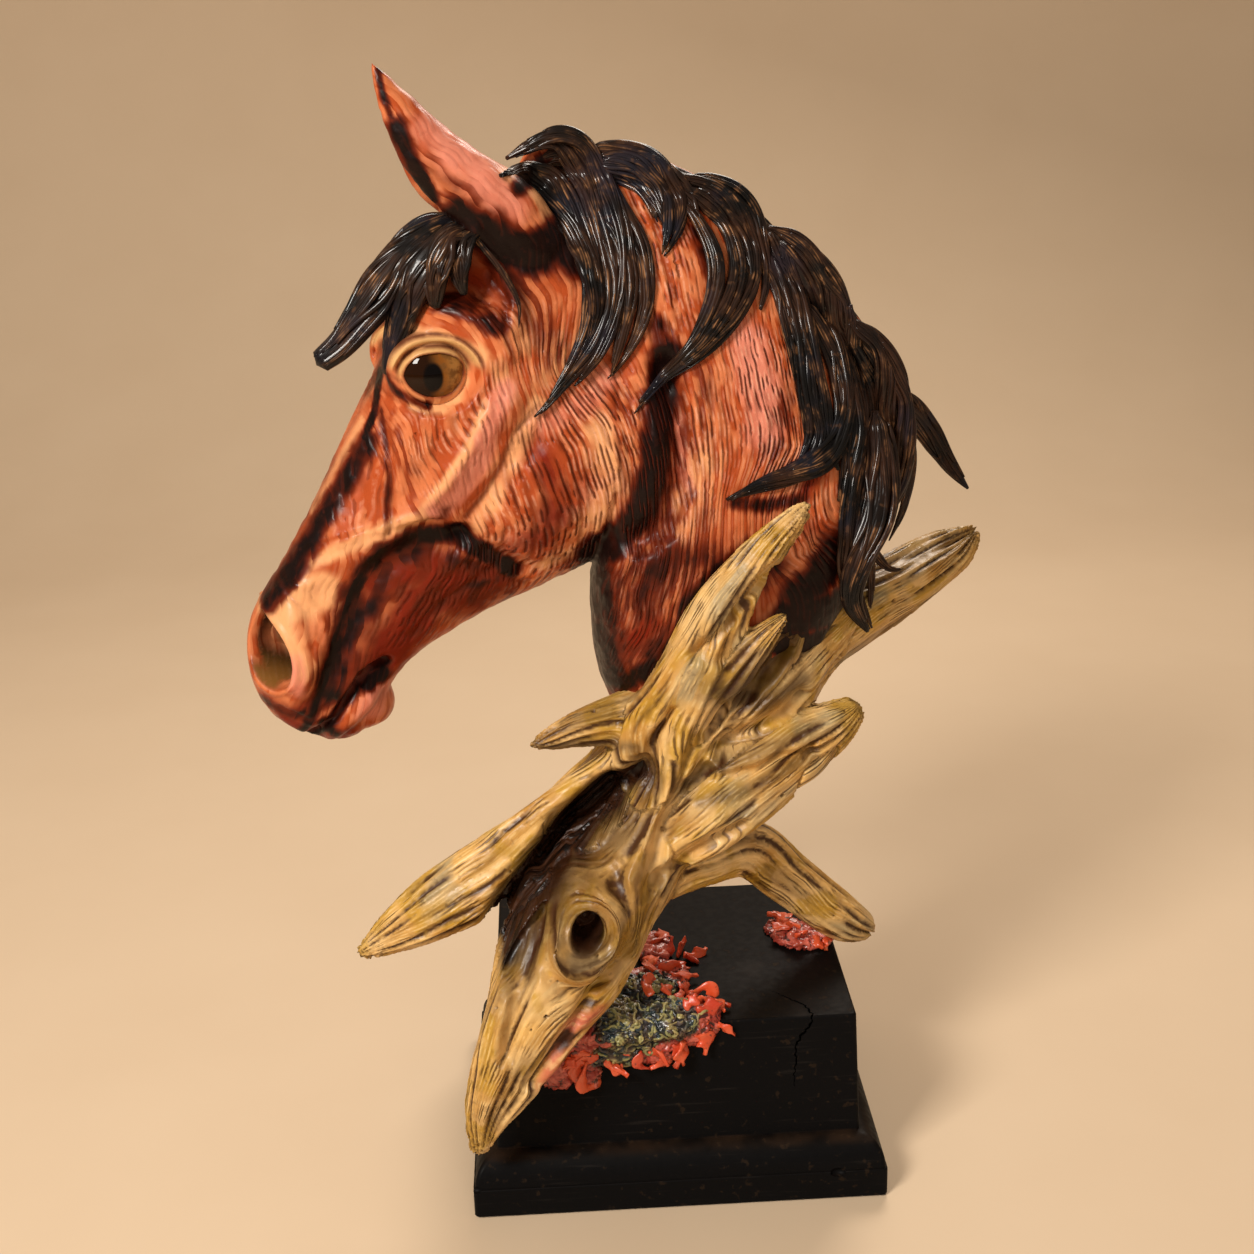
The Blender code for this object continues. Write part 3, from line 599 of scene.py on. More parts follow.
# %% Lines of the head: (forward, up) points, reach, height
BIG_FORMS = (
    # cheek disc, groove behind it, ridge below the eye, brow and temple
    (((50, 580), (10, 602), (-16, 640)), 84, 16),
    (((-72, 700), (-84, 645), (-80, 592), (-62, 546), (-38, 528)), 24, -16),
    (((85, 680), (112, 650), (151, 599), (173, 574), (200, 560)), 26, 9),
    (((60, 640), (94, 606), (116, 575), (133, 548)), 20, -7),
    (((-25, 645), (-21, 591), (-10, 545)), 26, 9),
    (((184, 752), (159, 766), (130, 768), (101, 754), (86, 730)), 24, 11),
    (((130, 800), (102, 790)), 34, -10),
    (((107, 840), (84, 812), (70, 781), (76, 752)), 16, 6),
    # side of the nose, valley to the lips, nostril wing, mouth and chin
    (((205, 690), (222, 640), (246, 590)), 30, -7),
    (((202, 552), (246, 530), (286, 508), (306, 484)), 24, 6),
    (((196, 556), (167, 556), (143, 546), (109, 520), (66, 492)), 18, -7),
    (((138, 536), (190, 528), (228, 498), (252, 456), (270, 412), (292, 372)), 24, -9),
    (((308, 462), (300, 432), (306, 398)), 26, 8),
    (((296, 326), (277, 352), (259, 366), (243, 382), (219, 400)), 17, -10),
    (((284, 336), (264, 350), (242, 364)), 22, 7),
)
FINE_FORMS = (
    # edges of the facial ridge and the fold that runs down from the eye
    (((56, 672), (80, 648), (94, 616), (109, 589), (129, 562)), 7, -3.0),
    (((101, 686), (123, 643), (148, 606), (172, 578)), 9, 2.6),
    (((209, 680), (202, 634), (202, 593), (208, 552)), 6, -3.6),
    (((198, 672), (193, 634), (193, 596)), 7, 1.6),
    (((60, 672), (66, 640), (86, 604)), 8, 2.2),
    # upper edge of the dark valley, jaw edge and folds of the lower jaw
    (((299, 525), (258, 541), (206, 562), (165, 572), (137, 557)), 8, 3.2),
    (((124, 507), (94, 488), (65, 474)), 9, -3.0),
    (((120, 530), (160, 500), (200, 452)), 10, 2.4),
    (((100, 500), (150, 470), (190, 430)), 9, -2.4),
    # mouth, lips, pocket at the corner and wrinkles round the nostril
    (((313, 329), (294, 336), (275, 352), (258, 375), (244, 397), (224, 404)), 6, -7.0),
    (((340, 366), (320, 345), (299, 333)), 7, 2.8),
    (((246, 387), (233, 401), (218, 405)), 9, -6.0),
    (((266, 325), (240, 348), (220, 370)), 6, -2.0),
    (((339, 476), (314, 497), (289, 499)), 7, 2.2),
    (((318, 500), (296, 470), (292, 436)), 6, -1.8),
    (((302, 500), (280, 466), (278, 430)), 6, 1.6),
    (((330, 368), (300, 352), (276, 372)), 6, -2.6),
    # wrinkles in front of and under the eye
    (((204, 693), (189, 683), (170, 673), (151, 672)), 5, -2.6),
    (((212, 722), (200, 714), (186, 704)), 6, -3.0),
    (((203, 700), (192, 692), (176, 684)), 4, 1.6),
    # wrinkle lines of the temple and the hollow above the eye
    (((126, 802), (112, 780), (96, 772)), 5, -2.0),
    (((92, 800), (80, 776), (84, 748), (76, 720)), 6, -3.0),
)
# The opening between the lids, and how high each lid stands at a distance from its edge
LID_OPENING = ((29, 2), (24, 12), (14, 19), (-1, 21), (-14, 19), (-24, 13), (-29, 4), (-26, -7), (-19, -16),
               (-8, -21), (6, -21), (19, -15), (27, -6))
UPPER_LID = ((0, 2.0), (2.5, 3.2), (4.5, 2.2), (6.5, -1.4), (8.5, 0.2), (11.5, 3.6), (14.5, 3.6),
             (17.5, -1.8), (21, 0.8), (28, 0))
UPPER_CREASES = (6.5, 17.5)
LOWER_LID = ((0, 0.8), (3, 2.2), (7, 1.6), (11, 0.2), (16, 0))
NOSTRIL = ((339, 470), (328, 458), (320, 444), (315, 428), (315, 412), (320, 397), (331, 389), (342, 391),
           (351, 400), (357, 417), (357, 436), (350, 455))
NOSTRIL_MIDDLE = (336.0, 430.0)
NOSTRIL_DEPTH = 50.0
NOSTRIL_WAY = np.array([-0.75, 0.1])
# How far from the middle of the face the nostrils and the lids begin, and over how much they grow
SEPTUM, LID_START, SIDE_RAMP = 5.0, 32.0, 18.0
LIPS = ((313, 329), (275, 352), (244, 397))
MUZZLE = ((-205, 480), (-178, 440), (-190, 400))


def sideways(places, normals):
    """How much each point of the head faces its own side."""
    facing = normals @ np.array([math.sin(HEAD_TURN), -math.cos(HEAD_TURN), 0.0])
    return np.clip(np.abs(facing) * 1.6 - 0.15, 0, 1)


def lift_lines(made, rows, behind=-110.0):
    places, normals = numbers_of(made)
    head = figure_to_head(places)
    facing = sideways(places, normals) * (head[:, 0] > behind)
    lift = lines_lift(head[:, :2], rows)
    write_places(made, places + normals * (lift * facing)[:, None])


# %% Nostrils and lids
def off_the_middle(head, start):
    """0 on the middle of the face, 1 on its sides."""
    return ease(start, start + SIDE_RAMP, np.abs(head[:, 2]))


def open_nostrils(made):
    places, _ = numbers_of(made)
    head = figure_to_head(places)
    gap = outline_gap(head[:, :2], NOSTRIL)
    side = np.sign(head[:, 2])
    outer = off_the_middle(head, SEPTUM)
    sink = NOSTRIL_DEPTH * ease(0.0, 9.0, -gap) * outer
    rim = (2.6 * fade(np.abs(gap - 3.0), 6.0)) * outer * (gap > -2)
    head[:, 0] += NOSTRIL_WAY[0] * sink + 0.3 * rim
    head[:, 1] += NOSTRIL_WAY[1] * sink
    head[:, 2] += side * (rim - 0.65 * sink)
    write_places(made, head_to_figure(head))


def shape_lids(made):
    places, _ = numbers_of(made)
    head = figure_to_head(places)
    forward, up, left = EYE_PLACE
    df, du = head[:, 0] - forward, head[:, 1] - up
    near = (np.hypot(df, du) < 72) & (np.abs(head[:, 2]) > 30)
    df, du, own = df[near], du[near], np.abs(head[near, 2])
    gap = outline_gap(np.stack([df, du], axis=1), LID_OPENING)
    bulge = np.clip(1 - (df / EYE_SIZE[0])**2 - (du / EYE_SIZE[1])**2, 0, 1)
    ball = left + EYE_SIZE[2] * np.sqrt(bulge)
    upper = ease(0.0, 14.0, du)
    upper_lift = np.interp(gap, *np.array(UPPER_LID).T)
    lower_lift = np.interp(gap, *np.array(LOWER_LID).T)
    blend = ease(1.0, 20.0, gap)
    surface = ball * (1 - blend) + own * blend + upper_lift * upper + lower_lift * (1 - upper)
    inside = ease(0.0, 1.6, -gap)
    surface = surface * (1 - inside) + (left - 12) * inside
    share = off_the_middle(head[near], LID_START)
    head[near, 2] = np.sign(head[near, 2]) * (surface * share + own * (1 - share))
    write_places(made, head_to_figure(head))


def finer_near(made, centres, radius):
    """Splits the edges near some places in two, where the sculptor needs a finer tool."""
    mesh = bmesh.new()
    mesh.from_mesh(made.data)
    middles = [Vector(point) for point in place(centres)]
    near = [edge for edge in mesh.edges
            if min((edge.verts[0].co - middle).length for middle in middles) < radius * UNIT]
    bmesh.ops.subdivide_edges(mesh, edges=near, cuts=1, use_grid_fill=True)
    mesh.to_mesh(made.data)
    mesh.free()


lift_lines(coat, BIG_FORMS)
fuse(coat, SKIN_VOXEL, 3)
keep_outer_shell(coat)
eyes = head_to_figure([(*EYE_PLACE[:2], side * 86) for side in (1, -1)])
nostrils = head_to_figure([(*NOSTRIL_MIDDLE, side * 40) for side in (1, -1)])
finer_near(coat, eyes, 52)
finer_near(coat, nostrils, 46)
open_nostrils(coat)
lift_lines(coat, FINE_FORMS)
shape_lids(coat)
print("modelled", len(coat.data.vertices), "points")

# %% [markdown]
# ## Combing the coat
#
# The coat was combed into wet clay with short wavy strokes about 3 mm apart, deep on the cheek and the neck, shallow
# on the muzzle and ears. A few short guide strokes say which way the hair lies, and every point takes a blend of the
# guides near it. A smooth hill that stays level along that way has height lines that run like the comb's tracks.

# %% Guide strokes of the coat, in the side view (x, z)
FLOW = (
    ((77, 636), (125, 572)), ((34, 576), (87, 510)), ((99, 676), (130, 656)), ((176, 673), (178, 590)),
    ((137, 613), (150, 550)), ((29, 541), (56, 517)), ((74, 576), (101, 550)), ((-62, 641), (-35, 589)),
    ((-16, 612), (2, 584)), ((-11, 648), (7, 630)), ((11, 576), (34, 556)), ((137, 646), (151, 612)),
    ((101, 606), (123, 576)), ((128, 555), (142, 530)), ((99, 679), (117, 657)), ((23, 728), (43, 686)),
     ((59, 727), (75, 684)),
    ((118, 774), (101, 725)), ((-112, 633), (-150, 562)), ((-139, 541), (-179, 489)), ((-89, 601), (-119, 545)),
    ((-5, 514), (-33, 467)), ((-43, 462), (-82, 420)), ((-112, 508), (-132, 444)), ((-55, 746), (13, 734)),
    ((27, 806), (49, 776)), ((238, 670), (211, 568)), ((206, 547), (163, 463)), ((172, 441), (142, 387)),
    ((213, 819), (202, 741)), ((183, 867), (177, 820)), ((284, 738), (283, 648)), ((323, 717), (331, 626)),
    ((329, 610), (293, 580)), ((257, 535), (235, 471)), ((298, 543), (282, 491)), ((329, 510), (378, 519)),
    ((344, 541), (351, 515)), ((137, 465), (140, 398)), ((235, 438), (213, 406)), ((-53, 975), (-14, 920)),
    ((-5, 919), (68, 857)), ((96, 832), (104, 803)),
)
# Where the strokes are deep: (x, z) points, reach, depth in figure units
STROKE_DEPTH = (
    (((130, 640), (95, 590), (70, 530)), 105, 2.1),
    (((230, 640), (200, 560), (160, 450)), 80, 1.7),
    (((300, 700), (320, 620), (350, 530)), 70, 1.6),
    (((200, 850), (205, 760)), 60, 1.5),
    (((-90, 620), (-130, 560)), 44, 0.9),
    (((-20, 640), (20, 690)), 70, 1.1),
    (((-20, 500), (-60, 450)), 60, 1.0),
    (((60, 760), (90, 720)), 60, 1.0),
)
STROKE_LEAST = 0.2
STROKE_SPACING, STROKE_LENGTH, STROKE_WAVE = 3.0, 13.0, 1.0
GUIDE_REACH = 34.0
COMB_GRID = 8.0
COMB_ROUNDS = 400
CLIMB_SHARE = 0.15
COMB_LOW, COMB_HIGH = (-270.0, -30.0), (500.0, 1040.0)
COMB_LEAN = 0.3


# %% How far across and along the strokes each point lies
def guide_ways(flat):
    """The blend of the guide strokes at places (x, z), as unit vectors."""
    total = np.zeros((len(flat), 2))
    for start, end in np.array(FLOW, float):
        way = (end - start) / np.linalg.norm(end - start)
        gap = near_line(flat, (start, end))
        total += way * (1 / (gap / GUIDE_REACH + 0.15)**3)[:, None]
    return total / (np.linalg.norm(total, axis=1)[:, None] + 1e-9)


def slopes(hill):
    """Slope to the right and upward, and the twist, of every cell of a grid."""
    low, right, up, far = hill[:-1, :-1], hill[1:, :-1], hill[:-1, 1:], hill[1:, 1:]
    return (far + right - up - low) / 2, (far + up - right - low) / 2, far - right - up + low


def gathered(right, up, twist):
    """The same the other way round: what each corner has to do with the cells round it."""
    hill = np.zeros((right.shape[0] + 1, right.shape[1] + 1))
    hill[:-1, :-1] += (-right - up) / 2 + twist
    hill[1:, :-1] += (right - up) / 2 - twist
    hill[:-1, 1:] += (up - right) / 2 - twist
    hill[1:, 1:] += (right + up) / 2 + twist
    return hill


def hill_along(way_x, way_z):
    """A hill that is level along the given ways and climbs at about 1 across them, by conjugate gradients."""
    def pull(hill):
        right, up, twist = slopes(hill)
        level, climb = right * way_x + up * way_z, CLIMB_SHARE * (up * way_x - right * way_z)
        return gathered(level * way_x - climb * way_z, level * way_z + climb * way_x, 0.02 * twist)

    hill = np.zeros((way_x.shape[0] + 1, way_x.shape[1] + 1))
    left = gathered(-CLIMB_SHARE * way_z, CLIMB_SHARE * way_x, 0 * way_x)
    step, size = left.copy(), (left**2).sum()
    for _ in range(COMB_ROUNDS):
        pulled = pull(step)
        share = size / (step * pulled).sum()
        hill, left = hill + share * step, left - share * pulled
        old, size = size, (left**2).sum()
        step = left + size / old * step
    return hill


def coat_comb(places):
    """Two smooth numbers, one level along every stroke and one level across it, read off at each point."""
    x, z = (np.arange(COMB_LOW[k], COMB_HIGH[k], COMB_GRID) for k in range(2))
    middles = np.stack(np.meshgrid(x[:-1], z[:-1], indexing="ij"), axis=-1).reshape(-1, 2) + COMB_GRID / 2
    way_x, way_z = guide_ways(middles).T.reshape(2, len(x) - 1, len(z) - 1)
    hills = hill_along(way_x, way_z), hill_along(way_z, -way_x)
    spot = (places[:, [0, 2]] - COMB_LOW) / COMB_GRID
    cell = np.clip(spot.astype(int), 0, np.array(hills[0].shape) - 2)
    (i, j), (a, b) = cell.T, (spot - cell).T
    across, along = (hill[i, j] * (1 - a) * (1 - b) + hill[i + 1, j] * a * (1 - b)
                     + hill[i, j + 1] * (1 - a) * b + hill[i + 1, j + 1] * a * b for hill in hills)
    depth = (places[:, 1] - POLL[1]) / COMB_GRID
    comb = np.stack([across + COMB_LEAN * depth, along, 0.2 * depth], axis=1)
    return comb * COMB_GRID * UNIT / MM


def lid_gap(head):
    """Distance from the opening between the lids, below 0 inside it."""
    return outline_gap(head[:, :2] - EYE_PLACE[:2], LID_OPENING)


def bald(places):
    """1 where no stroke was combed: eyelids, nostrils and lips."""
    head = figure_to_head(places)
    lids = lid_gap(head)
    nostril = outline_gap(head[:, :2], NOSTRIL)
    lips = near_line(head[:, :2], LIPS)
    muzzle = near_line(places[:, [0, 2]], MUZZLE)
    smooth = 0.7 * fade(lips, 26) + 0.85 * fade(muzzle, 48)
    return np.clip((1 - ease(12, 22, lids)) + (1 - ease(4, 22, nostril)) + smooth, 0, 1)


def creases(places):
    """Thin dark lines: the folds of the lids, the mouth and the wrinkles."""
    head = figure_to_head(places)
    lids = lid_gap(head)
    upper = ease(-4.0, 10.0, head[:, 1] - EYE_PLACE[1])
    mask = fade(np.abs(lids), 3.0)
    for crease in UPPER_CREASES:
        mask = np.maximum(mask, fade(np.abs(lids - crease), 3.6) * upper)
    for line, reach, height in FINE_FORMS:
        if height < 0:
            mask = np.maximum(mask, -0.2 * height * fade(near_line(head[:, :2], line), reach * 0.7))
    return np.clip(mask, 0, 1)


def comb_coat(made):
    places, normals = numbers_of(made)
    comb = coat_comb(places)
    groove, ridge = comb_lines(comb, STROKE_SPACING, STROKE_LENGTH, STROKE_WAVE, seed=1)
    side = sideways(places, normals)
    depth = np.maximum(lines_mask(places[:, [0, 2]], STROKE_DEPTH), STROKE_LEAST) * (1 - bald(places))
    depth *= 0.3 + 0.7 * side
    lumps = 0.9 * noise(places, 14.0, 3) + 0.4 * noise(places, 6.0, 4)
    lift = depth * (0.5 * ridge - 1.0 * groove) + lumps * (0.35 + 0.65 * (1 - bald(places)))
    write_places(made, places + normals * lift[:, None])
    share = np.clip(depth / 1.4, 0, 1)
    brush(made, "groove", np.maximum(0.5 * groove * share, creases(places)))
    brush(made, "depth", share)
    brush(made, "side", side)
    brush(made, "comb", comb)


comb_coat(coat)

# %% [markdown]
# ## Where the coat's paint lies
#
# The painter blended a few tones wet: pink and tan on the bone and the folds, deep red under the jaw. The shade mask
# is partly the dark brown paint of the nose band and the valley by the jaw, and partly painted shade: darker in the
# hollows, on the throat and the lower neck, under the jaw and between the locks. Each tone is a handful of soft lines
# in the side view with a reach and a strength.

# %% Tones of the coat: (x, z) points, reach, strength
# Dark paint and painted shade in one mask: painted shade in the hollows, on the throat, the lower neck and by the
# mane
SHADE_AND_DARK_PAINT = (
    (((51, 803), (73, 767), (96, 727)), 46, 0.48), (((173, 466), (199, 510), (234, 510)), 70, 0.66),
    (((218, 618), (235, 530)), 56, 0.38), (((319, 615), (332, 680)), 34, 0.5), (((242, 700), (248, 640)), 26, 0.42),
    (((-60, 660), (-48, 600), (-30, 570)), 34, 0.42), (((-91, 508), (-43, 471), (28, 470)), 56, 0.5),
    (((150, 850), (170, 800), (190, 740)), 30, 0.45), (((-15, 905), (30, 870)), 26, 0.5),
    (((-140, 610), (-180, 540)), 26, 0.45), (((120, 440), (130, 380)), 60, 0.7),
    (((150, 700), (170, 620), (160, 560)), 30, 0.35), (((60, 500), (110, 512)), 20, 0.3),
    (((-60, 430), (0, 452)), 22, 0.4), (((220, 440), (190, 410)), 40, 0.8), (((250, 470), (310, 500)), 44, 0.75),
    (((-80, 702), (-83, 685), (-86, 668), (-94, 652)), 7, 1.2),
    (((207, 711), (200, 672), (195, 631), (188, 590), (175, 554), (149, 523), (123, 503)), 34, 1.2),
    (((209, 630), (204, 568), (185, 522), (158, 485)), 44, 0.6), (((130, 487), (133, 421), (141, 365)), 56, 0.9),
    (((124, 810), (105, 832), (81, 818), (52, 829), (10, 856)), 42, 1.15), (((-14, 777), (15, 773),
     (44, 755)), 24, 0.75),
    (((26, 835), (46, 800), (56, 776)), 18, 0.7), (((166, 850), (176, 790), (160, 720)), 26, 0.5),
    (((-13, 545), (-48, 548), (-79, 538), (-107, 508), (-130, 466), (-144, 423), (-163, 379),
     (-174, 352)), 18, 0.95), (((-5, 540), (-50, 546), (-85, 530)), 28, 0.95),
    (((-118, 480), (-136, 425), (-152, 380)), 38, 0.85),
    (((10, 505), (-48, 530), (-80, 518), (-100, 480), (-122, 430), (-145, 385)), 44, 0.62),
    (((-13, 545), (11, 524), (40, 496)), 24, 1.1), (((-1, 482), (30, 486)), 20, 0.6),
    (((-176, 326), (-150, 351), (-130, 378), (-116, 397), (-94, 402)), 14, 1.1),
    (((-93, 642), (-120, 601), (-149, 556), (-180, 511), (-208, 478)), 23, 0.9),
    (((-72, 710), (-61, 696), (-47, 686), (-32, 680)), 12, 0.8), (((-79, 672), (-74, 632), (-75, 591),
     (-82, 549)), 8, 0.6),
    (((225, 455), (256, 490), (285, 506)), 38, 1.05), (((187, 391), (149, 362)), 26, 1.0),
    (((272, 566), (303, 561), (339, 565)), 18, 0.8), (((336, 666), (331, 626), (313, 595)), 12, 0.4),
    (((339, 464), (362, 482), (378, 502)), 44, 1.1), (((330, 440), (370, 436), (415, 450)), 44, 1.25),
    (((68, 882), (108, 910), (146, 902)), 18, 0.9), (((316, 412), (345, 402), (400, 408)), 34, 1.2),
    (((-112, 384), (-98, 391)), 19, 1.1), (((-162, 348), (-150, 332)), 15, 0.9), (((200, 741), (207, 691)), 26, 0.8),
    (((-43, 943), (-33, 911), (-15, 876)), 20, 0.95), (((-58, 993), (-54, 971), (-48, 952)), 8, 0.9),
    (((240, 840), (262, 780), (250, 730)), 22, 0.7), (((-220, 373), (-194, 359), (-170, 366)), 15, 0.8),
    (((-196, 331), (-171, 352)), 12, 0.9),
)
PINK = (
    (((45, 693), (29, 658), (11, 618), (-10, 588), (-26, 573)), 22, 0.9), (((83, 656), (109, 670),
     (144, 689)), 32, 0.6),
    (((291, 723), (303, 668), (303, 632)), 38, 0.9), (((-13, 938), (14, 910), (59, 866)), 36, 0.8),
    (((218, 651), (219, 599), (227, 578)), 12, 0.7), (((-103, 376), (-113, 349)), 24, 0.8),
    (((-33, 472), (-60, 439)), 18, 0.5), (((-99, 612), (-123, 561)), 18, 0.4),
    (((52, 533), (84, 553), (136, 592)), 34, 0.4), (((-182, 426), (-180, 390)), 18, 0.7),
)
TAN = (
    (((-200, 476), (-178, 484), (-152, 493)), 38, 1.3), (((-193, 456), (-182, 418)), 32, 1.1),
    (((-73, 732), (-47, 744), (-16, 743), (24, 726)), 20, 1.1), (((-44, 681), (-20, 677), (-1, 686),
     (5, 701)), 12, 0.9),
    (((27, 678), (8, 639), (-20, 599), (-42, 570)), 13, 0.95), (((77, 676), (57, 637), (35, 596),
     (8, 550)), 21, 0.75),
    (((-172, 514), (-130, 533), (-78, 557), (-37, 570)), 15, 0.9), (((138, 644), (150, 592), (128, 545)), 38, 0.72),
    (((55, 895), (83, 877), (97, 853)), 12, 1.0), (((242, 609), (200, 526), (173, 474)), 38, 0.5),
    (((76, 498), (115, 513)), 16, 0.7), (((13, 734), (41, 713), (45, 688)), 22, 0.7),
    (((68, 746), (101, 725), (85, 696)), 36, 0.5), (((29, 477), (-14, 459), (-45, 446)), 10, 0.5),
    (((-100, 659), (-128, 613), (-159, 565)), 8, 0.6),
)
RED = (
    (((-91, 500), (-60, 512), (-20, 495), (20, 485)), 44, 1.0), (((-80, 440), (-130, 400)), 30, 0.8),
    (((-2, 471), (-43, 473), (-76, 431), (-98, 410)), 52, 1.0), (((82, 625), (95, 583), (73, 532)), 44, 0.7),
    (((156, 409), (183, 441)), 36, 0.8), (((235, 438), (277, 491)), 40, 0.9), (((344, 536), (365, 525)), 22, 0.6),
    (((339, 563), (364, 598)), 18, 0.8), (((-11, 817), (17, 797), (45, 786)), 36, 0.7),
    (((-202, 353), (-175, 335), (-141, 327)), 28, 0.9), (((-53, 941), (-49, 920), (-40, 904)), 14, 0.8),
    (((96, 560), (40, 520)), 34, 0.5), (((206, 548), (173, 488), (151, 417)), 26, 0.4),
    (((-220, 373), (-194, 359), (-162, 374), (-135, 394)), 22, 0.8),
)


# %% Paint the masks and thin the coat
def in_nostril(head):
    """1 at the opening, and on the deep walls that open_nostrils pushed back."""
    inside = off_the_middle(head, SEPTUM) * ease(-1.0, 4.0, -outline_gap(head[:, :2], NOSTRIL))
    deep = (1 - ease(28.0, 38.0, np.abs(head[:, 2]))) * off_the_middle(head, -9.0)
    for share in (0.3, 0.6, 1.0):
        before = head[:, :2] - share * NOSTRIL_DEPTH * NOSTRIL_WAY
        inside = np.maximum(inside, deep * ease(-1.0, 4.0, -outline_gap(before, NOSTRIL)))
    return inside


def paint_masks(made):
    places, _ = numbers_of(made)
    flat = places[:, [0, 2]]
    for name, rows in (("shade", SHADE_AND_DARK_PAINT), ("pink", PINK), ("tan", TAN), ("red", RED)):
        brush(made, name, lines_mask(flat, rows))
    head = figure_to_head(places)
    nostril = in_nostril(head)
    # Inside the nostril: painted shade, and painted light on its lower wall
    brush(made, "inside", nostril)
    brush(made, "nostril_painted_light", nostril * ease(0.0, 44.0, NOSTRIL_MIDDLE[1] - head[:, 1]
                                      + 0.4 * (head[:, 0] - NOSTRIL_MIDDLE[0])))
    lids = lid_gap(head)
    above = ease(-8.0, 8.0, head[:, 1] - EYE_PLACE[1])
    fold = fade(np.abs(lids - 12.5), 6.0) * ease(2.0, 14.0, head[:, 1] - EYE_PLACE[1])
    lid = np.clip(fade(np.abs(lids - 3.5), 5.5) * (0.2 + 0.8 * above) + fold, 0, 1)
    brush(made, "lid", lid * off_the_middle(head, LID_START))


paint_masks(coat)
places, _ = numbers_of(coat)
thin_out(coat, SKIN_TRIANGLES, ease(POLL[1] - 20, POLL[1] + 10, places[:, 1]))
finished(coat, CASTING, slot="horse_coat")

# %% [markdown]
# ## Mane and forelock
#
# The mane was laid on as rolls of clay, scored with a needle into strands and pulled out to points. Here each lock
# is a ribbed tube: its section has sharp valleys between round strands, and it tapers to its tip. Locks are laid on
# the coat by casting rays at it, and loose strands ride on top.

# %% Locks of the mane: half width and points (x, z), from the poll down
NEAR_LOCKS = (
    (10, ((56, 904), (75, 913), (100, 920), (124, 902), (137, 869), (146, 828), (148, 782), (139, 746), (115, 707),
     (87, 676), (73, 664))),
    (10, ((51, 894), (70, 895), (94, 891), (112, 869), (125, 837), (135, 801), (131, 755), (112, 714), (89, 683))),
    (10, ((65, 906), (95, 923), (122, 923), (141, 906), (155, 872), (166, 831), (164, 790), (153, 748), (136, 714),
     (114, 692))),
    (8, ((80, 916), (110, 928), (133, 918), (148, 893), (166, 854), (184, 820), (189, 778), (181, 740), (160, 707),
     (147, 695))),
    (9, ((109, 902), (132, 873), (145, 837), (155, 800), (151, 759), (130, 722), (104, 695), (79, 667))),
    (8, ((146, 850), (166, 822), (172, 785), (167, 747), (151, 701))),
    (9, ((137, 908), (169, 910), (198, 903), (217, 884), (228, 855), (223, 828), (208, 808))),
    (8, ((140, 899), (173, 900), (199, 886), (213, 861), (212, 828), (206, 810))),
    (6, ((148, 888), (177, 879), (194, 863), (203, 840))),
    (9, ((219, 883), (247, 875), (276, 859), (294, 831), (300, 795), (290, 764), (262, 733), (229, 709),
     (194, 684), (172, 661))),
    (9, ((226, 872), (251, 857), (275, 824), (281, 787), (265, 752), (234, 721), (199, 689), (178, 672))),
    (8, ((230, 858), (247, 834), (259, 803), (257, 771), (242, 739), (219, 710), (194, 687))),
    (8, ((238, 880), (273, 871), (299, 848), (309, 818), (312, 780), (303, 752))),
    (6, ((215, 891), (236, 864), (244, 834))),
    (12, ((56, 896), (71, 890), (96, 864), (118, 835), (131, 801), (137, 765), (125, 727))),
    (14, ((133, 897), (156, 863), (169, 826), (170, 789), (159, 752))),
    (12, ((148, 896), (182, 889), (201, 866), (209, 838))),
    (14, ((246, 869), (276, 844), (293, 809), (296, 772), (281, 746))),
    (12, ((310, 831), (331, 806), (343, 768), (349, 730), (356, 692), (365, 653), (370, 613), (380, 589))),
    (12, ((316, 829), (348, 813), (369, 785), (380, 754), (389, 715), (394, 672), (387, 630), (366, 598),
     (326, 591), (291, 586), (267, 571))),
    (15, ((346, 757), (375, 707), (388, 659), (379, 621), (350, 600), (316, 587), (285, 579), (262, 571))),
    (14, ((313, 808), (328, 760), (341, 712), (348, 663), (351, 625), (337, 602))),
    (18, ((318, 817), (351, 782), (374, 736), (387, 687), (391, 639), (388, 589), (380, 557))),
    (18, ((381, 726), (395, 676), (401, 625), (394, 578), (389, 535))),
    (9, ((321, 817), (335, 769), (339, 722), (346, 683), (362, 639), (356, 610), (332, 593), (301, 590))),
    (9, ((340, 816), (363, 797), (386, 765), (396, 743), (398, 705))),
    (7, ((315, 799), (325, 761), (332, 722), (336, 682))),
    (12, ((400, 747), (405, 715), (410, 663), (406, 614), (393, 567), (388, 515), (387, 477), (422, 402))),
    (12, ((397, 735), (429, 703), (439, 661), (439, 612), (429, 564), (412, 516), (401, 470), (424, 404))),
    (12, ((408, 730), (442, 693), (458, 646), (459, 596), (449, 544), (423, 514), (427, 445), (426, 407))),
    (9, ((392, 743), (397, 695), (394, 648), (387, 600), (382, 557))),
    (8, ((416, 717), (449, 671), (462, 625), (467, 570), (461, 524), (447, 491))),
    (9, ((399, 715), (418, 683), (425, 633), (418, 584), (405, 536), (392, 498), (391, 455))),
    (4, ((424, 540), (412, 511), (447, 456), (464, 458))),
)
FRONT_LOCKS = 18
FAR_LOCKS = (
    (24, ((100, 896), (128, 882), (148, 810), (134, 740), (100, 690))),
    (24, ((150, 892), (190, 870), (208, 790), (190, 710), (150, 664))),
    (24, ((212, 876), (256, 846), (272, 764), (256, 680), (220, 630))),
    (26, ((278, 842), (320, 796), (334, 710), (320, 630), (286, 570))),
    (26, ((336, 790), (376, 732), (388, 644), (370, 560), (340, 500))),
    (26, ((388, 738), (426, 660), (434, 576), (412, 494), (384, 440))),
)
FREE_LOCKS = (
    (22, ((424, 118, 640), (428, 104, 585), (420, 88, 534), (400, 74, 492), (393, 69, 452), (412, 73, 415))),
    (16, ((420, 180, 640), (470, 210, 628), (500, 226, 594), (524, 228, 556), (550, 226, 524))),
)
